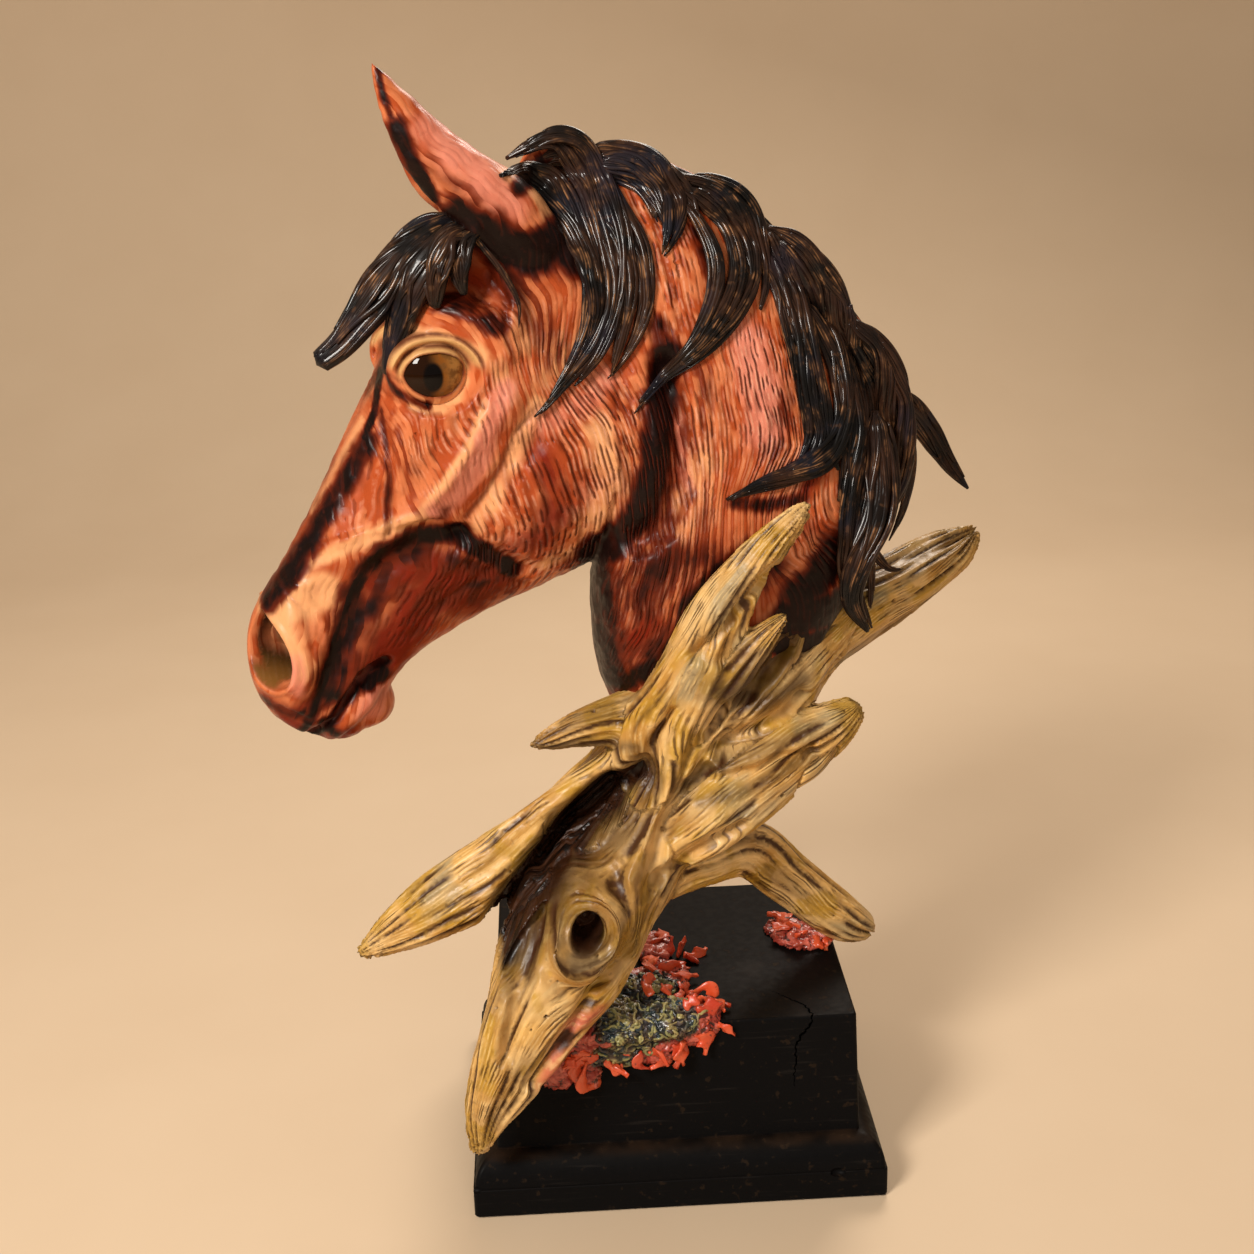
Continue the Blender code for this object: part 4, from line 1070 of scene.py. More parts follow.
# The last number of a lock of the forelock says how blunt its tip is
FORELOCK = (
    (27, ((78, 842, 28), (106, 842, 30), (134, 834, 32), (162, 816, 33), (188, 792, 34), (212, 764, 35),
          (236, 738, 36), (258, 722, 36)), 0.5),
    (24, ((88, 838, 44), (113, 838, 49), (138, 824, 52), (158, 802, 54), (172, 776, 54), (184, 744, 52),
          (196, 708, 50)), 0.2),
    (17, ((98, 842, 62), (122, 838, 66), (136, 822, 72), (145, 800, 76), (148, 774, 78)), 0.3),
    (12, ((94, 842, 66), (112, 836, 74), (120, 820, 80), (122, 800, 84), (120, 786, 86)), 0.3),
    (4, ((112, 846, 62), (106, 838, 74), (96, 824, 82), (80, 800, 92), (70, 775, 97), (71, 752, 98)), 0.1),
    (22, ((88, 838, 8), (132, 834, 8), (166, 812, 10), (188, 782, 12), (196, 754, 14)), 0.3),
    (22, ((84, 838, -22), (132, 834, -28), (168, 802, -34), (192, 762, -36)), 0.3),
)
CREST_ANGLES = (-105, -75, -45, -15, 15, 45, 75, 105)
FREE_OUTWARD = np.array([0.3, -1.0, 0.2]) / 1.063
FORELOCK_OUTWARD = np.array([-0.5, -0.7, 0.5]) / 0.995
LOCK_THICKNESS = 0.68
RING_GAP = 4.2


# %% One ribbed lock
def walked_along(path):
    """How far along the path each of its points lies."""
    return np.concatenate([[0], np.cumsum(np.linalg.norm(np.diff(path, axis=0), axis=1))])


def even_path(points, gap=RING_GAP, rows=None):
    """A smooth path through the points, with even steps."""
    path = smooth_rows(points, 12)
    walked = walked_along(path)
    count = rows or max(8, int(walked[-1] / gap))
    steps = np.linspace(0, walked[-1], count)
    return np.stack([np.interp(steps, walked, column) for column in path.T], axis=1)


def lock_widths(count, half_width, tip=0.10):
    """A lock is slim at its root, full in the middle and ends in a tip this thick."""
    share = np.linspace(0, 1, count)
    root = 0.35 + 0.65 * ease(0.0, 0.07, share)
    return half_width * root * (0.62 + 1.1 * share * (1 - share) - (0.62 - tip) * share**4)


def ribbed_lock(path, outward, wide, thickness, ribs, seed, ring_points=48, depth=0.26):
    """A tube whose section is a row of round strands, with each point's strand height and way."""
    chance = np.random.default_rng(seed)
    shift, warp, drift = chance.uniform(0, 6, 3)
    heights = []

    def strands(angle, row):
        bent = angle + 0.3 * np.sin(2 * angle + warp + row * 0.03)
        wave = np.abs(np.cos(0.5 * ribs * bent + shift + 0.9 * np.sin(row * 0.06 + drift)))
        height = wave**0.55
        heights.append(height)
        return 1 - depth * (1 - height)

    points, faces = tube(path, wide, wide * thickness, outward, ring_points, strands)
    return points, faces, np.concatenate([[0.5], *heights, [0.5]]), comb_along(path, wide, ring_points, seed)


def comb_along(path, wide, ring_points, seed):
    """Across runs round the lock from its back, along runs to its tip, and the third number is the lock's own."""
    turn = (full_turn(ring_points) + math.pi / 2 + 0.01) % (2 * math.pi)
    comb = np.stack([np.tile(turn * np.max(wide) * 0.8, len(path)), np.repeat(walked_along(path), ring_points),
                     np.full(len(path) * ring_points, seed * 11.0)], axis=1)
    return np.concatenate([comb[:1], comb, comb[-1:]]) * UNIT / MM


def riding_strand(path, outward, wide, side, seed):
    """A thin strand that keeps its own place across a lock, and waves as it goes."""
    chance = np.random.default_rng(seed)
    first = int(chance.integers(0, max(1, len(path) // 8)))
    last = len(path) - int(chance.integers(0, max(1, len(path) // 5)))
    part, out, width = path[first:last], outward[first:last], wide[first:last]
    _, across, _ = frames_along(part, out)
    share = np.linspace(0, 1, len(part))
    sway = side + 0.24 * np.sin(share * chance.uniform(4, 10) + chance.uniform(0, 6))
    sway = np.clip(sway, -0.95, 0.95)
    lift = 0.92 * LOCK_THICKNESS * np.sqrt(1 - sway**2) + 0.05 * np.sin(share * 9 + seed)
    part = part + across * (sway * width)[:, None] + out * (lift * width)[:, None]
    own = lock_widths(len(part), chance.uniform(2.8, 4.6), 0.3)
    points, faces = tube(part, own, own * 0.9, out, 10)
    count = len(points)
    return points, faces, np.full(count, chance.uniform(0.7, 1.0)), comb_along(part, own, 10, seed)


# %% Laying locks on the coat
def draped(skin, points, half_width, side, lift, rows=None):
    """A path (x, z) laid on the skin, with the way out of the skin along it."""
    flat = even_path(points, rows=rows)
    path, outward = [], []
    for x, z in flat:
        start = Vector(place([x, POLL[1] + side * 400, z]))
        hit, normal, _, _ = skin.ray_cast(start, Vector((0, -side, 0)))
        if hit is None:
            y, out = (path[-1][1] if path else POLL[1] + side * 20), (0.3, side, 0.3)
        else:
            y = (hit.y - CORNER[1]) / UNIT + side * (half_width * LOCK_THICKNESS * 0.6 + lift)
            out = normal
        path.append((x, y, z))
        outward.append(np.array(out) / np.linalg.norm(out))
    path, outward = np.array(path), np.array(outward)
    for _ in range(12):
        path[1:-1] = (path[:-2] + 2 * path[1:-1] + path[2:]) / 4
        outward[1:-1] = (outward[:-2] + 2 * outward[1:-1] + outward[2:]) / 4
    return path, outward


def hair_object(name, shapes):
    """Locks joined in one object, with their strand heights as a mask."""
    points, faces = joined([shape[:2] for shape in shapes])
    made = mesh_object(name, points, faces)
    brush(made, "rib", np.concatenate([shape[2] for shape in shapes]))
    brush(made, "comb", np.concatenate([shape[3] for shape in shapes]))
    thin_out(made, HAIR_TRIANGLES[name])
    return finished(made, CASTING, slot="mane")


def lock_shapes(path, outward, half_width, seed, strands, ribs=5, ring_points=32, tip=0.1):
    wide = lock_widths(len(path), half_width, tip)
    wide *= 1 + 0.06 * np.sin(np.linspace(0, 9, len(path)) + seed)
    made = [ribbed_lock(path, outward, wide, LOCK_THICKNESS, ribs, seed, ring_points)]
    sides = np.linspace(-0.85, 0.85, strands) if strands > 1 else [0.0] * strands
    made += [riding_strand(path, outward, wide, side, seed * 31 + k) for k, side in enumerate(sides)]
    return made


# %% The mane
HAIR_TRIANGLES = {"mane_front": 135000, "mane_back": 165000, "mane_far_side": 80000, "forelock": 37000}
skin_tree = BVHTree.FromObject(coat, bpy.context.evaluated_depsgraph_get())
front_shapes, back_shapes, far_shapes = [], [], []
for k, (width, points) in enumerate(NEAR_LOCKS):
    path, outward = draped(skin_tree, points, width, -1, lift=(k % 3) * 2.0 if width < 13 else -4.0)
    shapes = front_shapes if k < FRONT_LOCKS else back_shapes
    shapes += lock_shapes(path, outward, width, seed=100 + k, strands=5 if width > 7 else 2)
for k, (width, points) in enumerate(FAR_LOCKS):
    path, outward = draped(skin_tree, points, width, 1, lift=(k % 2) * 2.0)
    far_shapes += lock_shapes(path, outward, width, seed=300 + k, strands=5, ribs=9, ring_points=48)
for k, (width, points) in enumerate(FREE_LOCKS):
    path = even_path(points)
    outward = np.tile(FREE_OUTWARD, (len(path), 1))
    back_shapes += lock_shapes(path, outward, width, seed=400 + k, strands=5)
crest = even_path([(x, POLL[1], z) for x, z in CREST[1:]])
crest_way = frames_along(crest, (0.0, 1.0, 0.0))[0]
crest_up = np.cross(crest_way, (0.0, -1.0, 0.0))
for k, angle in enumerate(np.radians(CREST_ANGLES)):
    outward = crest_up * math.cos(angle) + np.array([0.0, math.sin(angle), 0.0])
    wander = np.sin(np.linspace(0, 14, len(crest)) + k)[:, None] * 2.0
    path = crest + outward * 8.0 + np.cross(crest_way, outward) * wander
    start, end = np.linspace(0.5, 9, len(path)), np.linspace(6, 0.3, len(path)).clip(0, 1)
    wide = 10.0 * np.clip(np.minimum(1, start), 0, end)
    shapes = back_shapes if angle < 0.2 else far_shapes
    shapes.append(ribbed_lock(path, outward, wide, LOCK_THICKNESS, 5, 600 + k, 28))
mane_front = hair_object("mane_front", front_shapes)
mane_back = hair_object("mane_back", back_shapes)
mane_far_side = hair_object("mane_far_side", far_shapes)

# %% The forelock
forelock_shapes = []
for k, (width, points, tip) in enumerate(FORELOCK):
    path = even_path(head_to_figure(points))
    outward = np.tile(FORELOCK_OUTWARD, (len(path), 1))
    forelock_shapes += lock_shapes(path, outward, width, seed=500 + k, strands=6 if width > 10 else 0, tip=tip)
forelock = hair_object("forelock", forelock_shapes)

# %% [markdown]
# ## Driftwood
#
# The wood is part of the casting too: a weathered root with a knot hole, a split and pointed branch ends. Limbs are
# tubes fused into one. Its grain runs along the limbs and parts round the knot like water round a stone, so each
# point takes its way from the nearest limb, and the flow formula for a cylinder moves it round the knot.

# %% Limbs: points (x, y, z, radius)
LIMBS = (
    # main trunk and its left flank
    ((-19, -56, -112, 9), (-7, -58, -57, 25), (17, -52, -3, 40), (44, -38, 48, 53), (80, -8, 96, 66),
     (122, 24, 142, 62), (165, 58, 186, 62), (203, 78, 240, 58), (241, 92, 293, 62), (292, 104, 348, 58),
     (349, 133, 388, 47), (410, 169, 406, 42), (476, 200, 426, 37), (533, 231, 448, 27), (564, 242, 469, 9)),
    ((64, 40, 146, 26), (32, 36, 98, 22), (22, 0, 56, 24), (14, -32, 8, 25)),
    # spike up the neck, the short one beside it, and the fibres between that and the right branch
    ((172, 72, 176, 34), (180, 64, 226, 40), (186, 62, 271, 43), (193, 66, 318, 46), (222, 47, 390, 38),
     (257, 25, 468, 27), (294, 16, 522, 19), (327, 18, 558, 12), (341, 20, 574, 4)),
    ((250, 72, 326, 34), (285, 66, 370, 33), (312, 70, 404, 29), (338, 84, 432, 16)),
    ((222, 60, 329, 34), (263, 36, 393, 25), (298, 30, 432, 15), (321, 30, 454, 5)),
    ((257, 84, 304, 44), (306, 84, 356, 42), (352, 108, 390, 34), (400, 140, 412, 22)),
    # far side: bed of the neck and a plain spike
    ((130, 60, 190, 44), (190, 150, 285, 58), (262, 196, 322, 66), (340, 196, 372, 60), (410, 180, 408, 38)),
    ((232, 214, 318, 46), (262, 252, 396, 30), (296, 264, 462, 18), (330, 262, 520, 6)),
    # small branch under the throat, and the long one on the left
    ((204, 102, 322, 43), (149, 80, 326, 32), (106, 62, 325, 23), (74, 50, 318, 15), (54, 44, 313, 6)),
    ((190, 120, 285, 40), (110, 112, 220, 38), (50, 96, 165, 34), (14, 74, 122, 28)),
    ((172, 94, 266, 46), (84, 86, 208, 38), (26, 80, 166, 41), (-26, 73, 136, 38), (-77, 66, 108, 29),
     (-116, 60, 89, 18), (-147, 53, 74, 6)),
    # branch on the right, with the broken knob under its end
    ((176, 52, 186, 34), (228, 46, 224, 44), (285, 54, 262, 42), (334, 66, 291, 34), (373, 76, 309, 27),
     (402, 82, 327, 13)),
    ((312, 60, 262, 26), (346, 58, 274, 20), (370, 62, 288, 12)),
    # bent leg that stands on the plinth
    ((160, 50, 150, 34), (232, 78, 156, 26), (286, 106, 156, 30), (332, 127, 111, 30), (374, 142, 65, 27),
     (409, 151, 31, 23), (434, 157, 15, 15)),
)
SPLIT = ((168, 274), (130, 242), (94, 206), (58, 170), (32, 138), (16, 112))
SPLIT_MIDDLE = ((134, 238), (112, 222), (94, 204))
WOOD_CARVING = (
    (SPLIT, 32, -44),
    (SPLIT_MIDDLE, 42, -40),
    (((228, 421), (250, 448), (272, 477), (288, 496), (303, 506)), 15, -17),
    (((235, 320), (255, 352), (284, 369), (307, 387), (322, 406)), 15, -15),
    (((254, 303), (294, 320), (320, 336), (337, 351)), 18, -16),
    (((218, 264), (249, 273), (283, 281), (322, 291), (346, 296)), 13, -13),
    (((174, 172), (182, 208), (193, 232), (212, 258), (235, 281)), 14, -16),
    (((201, 357), (184, 327), (174, 290), (164, 267)), 10, -11),
    (((171, 162), (204, 187), (238, 211), (270, 224)), 13, -15),
    (((128, 96), (104, 73), (73, 32), (40, -16)), 14, -14),
    (((66, 172), (61, 154), (49, 129), (37, 100), (25, 63), (14, 21)), 15, -16),
    (((161, 60), (156, 129), (150, 183), (168, 227), (191, 268), (219, 339), (248, 400)), 17, 10),
)
KNOT = np.array([104.0, 140.0])
KNOT_OVAL = (0.94, 1.12)
KNOT_DEPTH = 50.0
KNOT_HOLE = 19.0
KNOT_RING = 37.0
KNOT_RIM = 14.0
WOOD_VOXEL = 0.68
WOOD_TRIANGLES = 184000


# %% Fuse and carve the wood
def build_wood():
    shapes = []
    for points in LIMBS:
        path = even_path(points, gap=6.0)
        shapes.append(tube(path[:, :3], path[:, 3], path[:, 3] * 0.9, ring_points=40,
                           swell=lambda angle, row: 1 + 0.1 * np.cos(3 * angle + 0.08 * row)))
    made = mesh_object("driftwood", *joined(shapes))
    fuse(made, 1.1, 22)
    places, normals = numbers_of(made)
    flat = places[:, [0, 2]]
    front = np.clip(-normals[:, 1] * 2, 0, 1) * (places[:, 1] < 110)
    lift = lines_lift(flat, WOOD_CARVING)
    gap = np.linalg.norm((flat - KNOT) / KNOT_OVAL, axis=1)
    lift += KNOT_RIM * fade(np.abs(gap - KNOT_RING), 12) - KNOT_DEPTH * ease(0.0, 8.0, KNOT_HOLE - gap)
    lift -= 7.0 * fade(np.abs(gap - KNOT_RING - 17), 10)
    places[:, 1] -= lift * front
    write_places(made, places)
    fuse(made, WOOD_VOXEL, 2)
    keep_outer_shell(made)
    return made


# %% Grain of the wood
KNOT_RADIUS = 44.0
KNOT_REACH = 60.0
SEAM = 0.04
POINTS_AT_ONCE = 40000
# Spacing, length and wave of the grain in millimetres
COARSE_GRAIN = (5.0, 38.0, 2.6)
FINE_GRAIN = (2.4, 22.0, 1.3)
WORM_HOLES = 90
# Painted shade in the hollows, the split and under the fork, and the red wash beside the blossom: (x, z) points,
# reach, strength
HOLLOW_SHADE = (
    (((262, 290), (305, 305), (345, 318)), 14, 0.6),
    (SPLIT, 32, 1.3), (SPLIT_MIDDLE, 40, 1.4), (((61, 154), (49, 129), (37, 100)), 12, 0.8),
    (((262, 368), (300, 388), (330, 418)), 32, 0.85), (((250, 376), (295, 352), (338, 366)), 26, 0.8),
    (((228, 252), (290, 268), (350, 290)), 12, 0.6), (((60, 316), (126, 306), (160, 312)), 12, 0.7),
    (((212, 258), (235, 281), (262, 292)), 14, 0.7),
)
BLUSH = ((((112, 50), (84, 40), (64, 8), (52, -24)), 16, 0.8), (((176, 60), (182, 30)), 18, 0.7),
         (((352, 30), (378, 14)), 22, 0.8))


def limb_comb(places):
    """Across (round the limb, from its front) and along the nearest limb, and where two limbs meet."""
    best, second = np.full(len(places), 1e9), np.full(len(places), 1e9)
    comb = np.zeros((len(places), 3))
    back = np.zeros(len(places))
    for number, points in enumerate(LIMBS):
        path = even_path(points, gap=8.0)
        centres, radii = path[:, :3], path[:, 3]
        ways = unit(np.gradient(centres, axis=0))
        walked = walked_along(centres)
        side = unit(np.cross(ways, (0.0, 1.0, 0.0)))
        front = np.cross(side, ways)
        front *= np.sign(-front[:, 1])[:, None]
        for start in range(0, len(places), POINTS_AT_ONCE):
            rows = slice(start, start + POINTS_AT_ONCE)
            part = places[rows]
            near = (np.linalg.norm(part[:, None] - centres[None], axis=2) / radii[None]).argmin(axis=1)
            off = part - centres[near]
            ahead = np.einsum("ij,ij->i", off, ways[near])
            gap = np.linalg.norm(off, axis=1) / radii[near]
            angle = np.arctan2(np.einsum("ij,ij->i", off, side[near]), np.einsum("ij,ij->i", off, front[near]))
            found = np.stack([angle * radii.mean(), walked[near] + ahead, np.full(len(part), number * 40.0)], axis=1)
            wins = gap < best[rows]
            second[rows] = np.where(wins, best[rows], np.minimum(second[rows], gap))
            best[rows] = np.where(wins, gap, best[rows])
            comb[rows] = np.where(wins[:, None], found, comb[rows])
            back[rows] = np.where(wins, np.abs(angle), back[rows])
    seam = np.maximum(fade(second - best, SEAM), ease(2.9, 3.1, back))
    return comb, seam


def round_the_knot(comb, places):
    """Parts the grain round the knot like water round a stone, with rings inside."""
    out = places[:, [0, 2]] - KNOT
    distance = np.linalg.norm(out, axis=1) + 1e-6
    front = places[:, 1] < KNOT_REACH
    middle = comb[np.argmin(distance + 1e6 * ~front)]
    own = front & (comb[:, 2] == middle[2])
    parted = (comb[:, 0] - middle[0]) * (1 - (KNOT_RADIUS / distance)**2)
    ringed = KNOT_RADIUS - distance
    comb[:, 0] = np.where(own, middle[0] + np.where(distance > KNOT_RADIUS, parted, ringed), comb[:, 0])
    return comb


def grain_wood(made):
    places, normals = numbers_of(made)
    comb, seam = limb_comb(places)
    comb = round_the_knot(comb, places) * UNIT / MM
    coarse, ridge = comb_lines(comb, *COARSE_GRAIN, seed=11)
    fine, _ = comb_lines(comb, *FINE_GRAIN, seed=12)
    broad = noise(comb * (1 / 7.0, 1 / 34.0, 0.1), 1.0, 13)
    crack = ease(0.35, 0.6, noise(comb * (1 / 9.0, 1 / 40.0, 0.1), 1.0, 14)) * coarse
    lift = 1.6 * ridge - 2.4 * coarse - 1.1 * fine - 4.5 * crack + 4.5 * broad
    lift = lift * (1 - seam) - 2.5 * seam
    chance = np.random.default_rng(5)
    holes = np.zeros(len(places))
    for index in chance.integers(0, len(places), WORM_HOLES):
        radius = chance.uniform(1.4, 3.0)
        gap = np.linalg.norm(places - places[index], axis=1)
        holes = np.maximum(holes, ease(0.0, 1.2, radius - gap))
    write_places(made, places + normals * (lift - 4.0 * holes)[:, None])
    dark = ease(0.3, 0.75, coarse) + 0.3 * fine + crack + holes + 0.45 * ease(0.05, 0.6, -broad)
    brush(made, "groove", np.clip(dark, 0, 1) * (1 - seam) + 0.5 * ease(0.3, 0.8, seam))
    brush(made, "ridge", ridge)
    brush(made, "seam", seam)
    flat = places[:, [0, 2]]
    knot = KNOT_HOLE - np.linalg.norm((flat - KNOT) / KNOT_OVAL, axis=1)
    front = places[:, 1] < 150
    # Painted shade in the hollows and inside the knot hole
    brush(made, "painted_hollow_shade", np.maximum(lines_mask(flat, HOLLOW_SHADE), ease(-7.0, 3.0, knot)) * front)
    brush(made, "blush", lines_mask(flat, BLUSH) * front)
    brush(made, "comb", comb)


wood = build_wood()
print("wood", len(wood.data.vertices), "points")
grain_wood(wood)
places, _ = numbers_of(wood)
thin_out(wood, WOOD_TRIANGLES, ease(60.0, 120.0, places[:, 1]))
finished(wood, CASTING, slot="driftwood")

# %% [markdown]
# ## Blossom and lichen
#
# At the wood's foot sits a mound of lichen with coral-red petals pressed round it. The mound is fused from lumps,
# its surface is combed in swirls, and every petal is a small curled leaf laid on the nearest surface.

# %% Lumps of the mound: centre, half sizes
MOUND = (
    ((84, 4, -12), (38, 24, 34)), ((66, -8, -40), (22, 14, 28)), ((98, -6, -52), (15, 12, 20)),
    ((128, 6, 2), (56, 36, 20)), ((132, -3, -22), (44, 13, 24)), ((180, 8, 2), (46, 34, 17)),
    ((176, -3, -22), (28, 12, 26)), ((212, 4, -4), (32, 18, 22)), ((232, 20, 3), (16, 22, 9)),
    ((160, 56, 10), (44, 34, 20)), ((196, 90, 5), (22, 34, 10)), ((182, 150, 6), (20, 34, 11)),
    ((360, 168, 5), (36, 28, 11)), ((340, 192, 3), (26, 22, 6)),
)
# Petals: foot (x, y, z), tip, half width
PETALS = (
    ((178, 145, 14), (192, 172, 16), 9), ((186, 132, 13), (200, 152, 12), 8), ((176, 122, 14), (186, 104, 17), 9),
    ((206, 138, 5), (214, 164, 5), 9), ((214, 136, 5), (234, 150, 5), 9), ((216, 130, 5), (232, 116, 5), 8),
    ((208, 126, 5), (212, 104, 6), 8), ((168, 88, 24), (182, 60, 22), 11), ((184, 84, 18), (204, 100, 10), 7),
    ((196, 72, 16), (222, 92, 8), 7), ((200, 56, 16), (214, 74, 9), 8), ((176, 46, 24), (172, 20, 22), 9),
    ((190, 42, 20), (196, 22, 18), 9), ((206, 44, 12), (226, 34, 12), 8), ((214, 52, 8), (244, 46, 5), 6),
    ((222, 38, 12), (252, 30, 6), 7), ((216, 20, 14), (242, 20, 10), 8), ((228, 10, 12), (256, 14, 4), 7),
    ((218, 2, 14), (246, 2, 3), 7), ((206, 6, 17), (222, -6, 13), 7), ((236, 24, 10), (262, 18, 3), 6),
    ((228, -2, 4), (240, -6, -16), 7), ((240, -2, 0), (252, -2, -14), 6), ((214, -8, -8), (226, -6, -30), 8),
    ((202, -10, -14), (208, -8, -36), 8), ((190, -12, -18), (196, -10, -40), 7), ((178, -12, -24),
     (184, -8, -48), 7),
    ((164, -12, -28), (172, -5, -62), 6), ((156, -12, -24), (160, -8, -46), 7), ((146, -12, -28),
     (138, -10, -44), 6),
    ((172, -10, -30), (188, -6, -50), 5), ((110, -12, -26), (98, -14, -56), 8), ((102, -16, -22), (90, -16, -48), 8),
    ((116, -14, -32), (132, -12, -40), 6), ((122, -14, -36), (142, -10, -42), 5), ((96, -18, -30),
     (95, -15, -66), 6),
    ((92, -22, 6), (76, -22, -16), 9), ((84, -16, -26), (76, -18, -50), 7),
    ((342, 186, 12), (322, 200, 8), 7), ((346, 170, 18), (326, 176, 12), 7), ((352, 158, 20), (336, 160, 18), 7),
    ((360, 148, 18), (346, 142, 14), 7), ((370, 146, 14), (362, 134, 6), 6), ((378, 146, 10), (374, 134, 2), 6),
    ((340, 200, 8), (330, 214, 6), 7), ((388, 150, 6), (392, 138, 2), 5),
)
# Where the mound is lichen and not petal: (x, z) lines in the front view, with reach and strength
LICHEN = (
    (((124, 12), (158, 20), (186, 18)), 26, 1.0), (((140, -6), (176, 0), (206, 6)), 26, 1.0),
    (((112, -30), (130, -22), (160, -14)), 22, 1.0), (((116, -40), (150, -36)), 14, 0.9),
)
MOUND_VOXEL = 0.55
BLOSSOM_TRIANGLES = 120000
LICHEN_THREADS = 210
PETAL_ROWS = 14


# %% Mound, petals and lichen threads
def petal(foot, tip, half_width, outward, seed):
    """A closed curled leaf from its foot to its tip."""
    chance = np.random.default_rng(seed)
    share = np.linspace(0, 1, PETAL_ROWS)[:, None]
    foot, tip = np.array(foot, float), np.array(tip, float)
    turn = chance.normal(0.0, 0.55)
    reach = (tip - foot) * chance.uniform(0.7, 1.2)
    reach = reach * math.cos(turn) + np.cross(outward, reach) * math.sin(turn)
    side = np.cross(reach, outward)
    side /= np.linalg.norm(side)
    bend = chance.uniform(-0.5, 0.5) * np.linalg.norm(reach)
    path = foot + reach * share + outward * (3 + chance.uniform(0, 6) * share**2)
    path = path + side * bend * np.sin(share * math.pi)
    wave = 0.35 * np.sin(np.linspace(0, chance.uniform(5, 12), PETAL_ROWS) + chance.uniform(0, 6))
    full = np.clip(np.sin(np.linspace(0.35, 2.9, PETAL_ROWS)) + wave, 0.25, 1.2)
    wide = half_width * chance.uniform(0.7, 1.3) * full
    notch, phase = chance.integers(2, 5), chance.uniform(0, 6)
    thick = np.full(PETAL_ROWS, chance.uniform(1.6, 2.8))
    return tube(path, wide, thick, np.tile(outward, (PETAL_ROWS, 1)), 20,
                lambda angle, row: 1 + 0.22 * np.cos(notch * angle + phase + 0.7 * row))


def lichen_mask(places):
    return lines_mask(places[:, [0, 2]], LICHEN) * (places[:, 1] < 60)


def lichen_thread(tree, start, seed):
    """A thread that wanders over the mound's skin."""
    chance = np.random.default_rng(seed)
    heading = chance.normal(size=3)
    turn = chance.uniform(-0.5, 0.5)
    spot, path, outs = np.array(start, float), [], []
    for _ in range(int(chance.integers(9, 20))):
        near, normal, _, _ = tree.find_nearest(Vector(spot))
        normal = np.array(normal)
        heading = heading - normal * (heading @ normal)
        heading /= np.linalg.norm(heading)
        path.append(np.array(near) + normal * 0.5)
        outs.append(normal)
        heading = heading * math.cos(turn) + np.cross(normal, heading) * math.sin(turn)
        turn += chance.uniform(-0.25, 0.25)
        spot = np.array(near) + heading * 2.2
    width = np.full(len(path), chance.uniform(1.1, 1.9))
    width[[0, -1]] *= 0.5
    return tube(np.array(path), width, width, np.array(outs), 8)


def build_blossom():
    mound = mesh_object("mound", *joined([blob(centre, sizes, 3) for centre, sizes in MOUND]))
    fuse(mound, MOUND_VOXEL, 3)
    places, normals = numbers_of(mound)
    swirl = np.stack([noise(places, 14, 21), noise(places, 14, 22), noise(places, 14, 23)], axis=1)
    swirl = np.cross(normals, swirl)
    swirl /= np.linalg.norm(swirl, axis=1)[:, None] + 1e-6
    strokes = combed(places, normals, swirl, 2.6, 24.0, seed=24, wander=0.9, taps=11)
    lumps = noise(places, 7.0, 25)
    places += normals * (1.6 * np.clip(strokes, -1.4, 1.4) + 2.2 * lumps)[:, None]
    write_places(mound, places)
    tree = BVHTree.FromPolygons(places.tolist(), [tuple(face.vertices) for face in mound.data.polygons])
    shapes, tones, threads = [], [], []
    for k, (foot, tip, half_width) in enumerate(PETALS):
        outward = np.array(tree.find_nearest(Vector(foot))[1])
        shapes.append(petal(foot, tip, half_width, outward, seed=700 + k))
        tones.append(0.2 + 0.8 * np.random.default_rng(800 + k).uniform())
    green = np.flatnonzero(lichen_mask(places) > 0.35)
    chance = np.random.default_rng(9)
    for k in range(LICHEN_THREADS):
        shapes.append(lichen_thread(tree, places[chance.choice(green)], seed=900 + k))
        threads.append(chance.uniform(0.2, 1.0))
    faces = [tuple(face.vertices) for face in mound.data.polygons]
    points, all_faces = joined([(places, faces), *shapes])
    made = mesh_object("blossom", points, all_faces)
    lichen, petals, height = lichen_mask(places), np.zeros(len(places)), 0.5 + 0.25 * strokes
    for k, (shape_points, _) in enumerate(shapes):
        count = len(shape_points)
        is_petal = k < len(tones)
        lichen = np.concatenate([lichen, np.full(count, 0.0 if is_petal else 1.0)])
        petals = np.concatenate([petals, np.full(count, tones[k] if is_petal else 0.0)])
        height = np.concatenate([height, np.full(count, 1.0 if is_petal else threads[k - len(tones)])])
    brush(made, "lichen", lichen)
    brush(made, "petal", petals)
    brush(made, "ridge", np.clip(height, 0, 1))
    bpy.data.objects.remove(mound)
    thin_out(made, BLOSSOM_TRIANGLES)
    return finished(made, CASTING, slot="blossom")


blossom = build_blossom()

# %% [markdown]
# ## Plinth and eyes
#
# The plinth is a moulded block: a slab, a quarter-round moulding and a slightly tapered block, all with softly worn
# edges. A crack runs over its top edge. It is cut with a thin wedge that follows the crack, and chips are cut with
# small balls. The eyes are glass-like balls set behind the lids.

# %% Plinth
SLAB_HEIGHT, OVOLO_HEIGHT, OVOLO_INSET = 11.5, 11.0, 9.0
BLOCK_TAPER, STEP_INSET, EDGE_ROUND, CORNER_RADIUS = 1.5, 0.6, 1.0, 1.6
BLOCK_TOP = PLINTH_HIGH.z / MM
ROUND_STEPS = 6
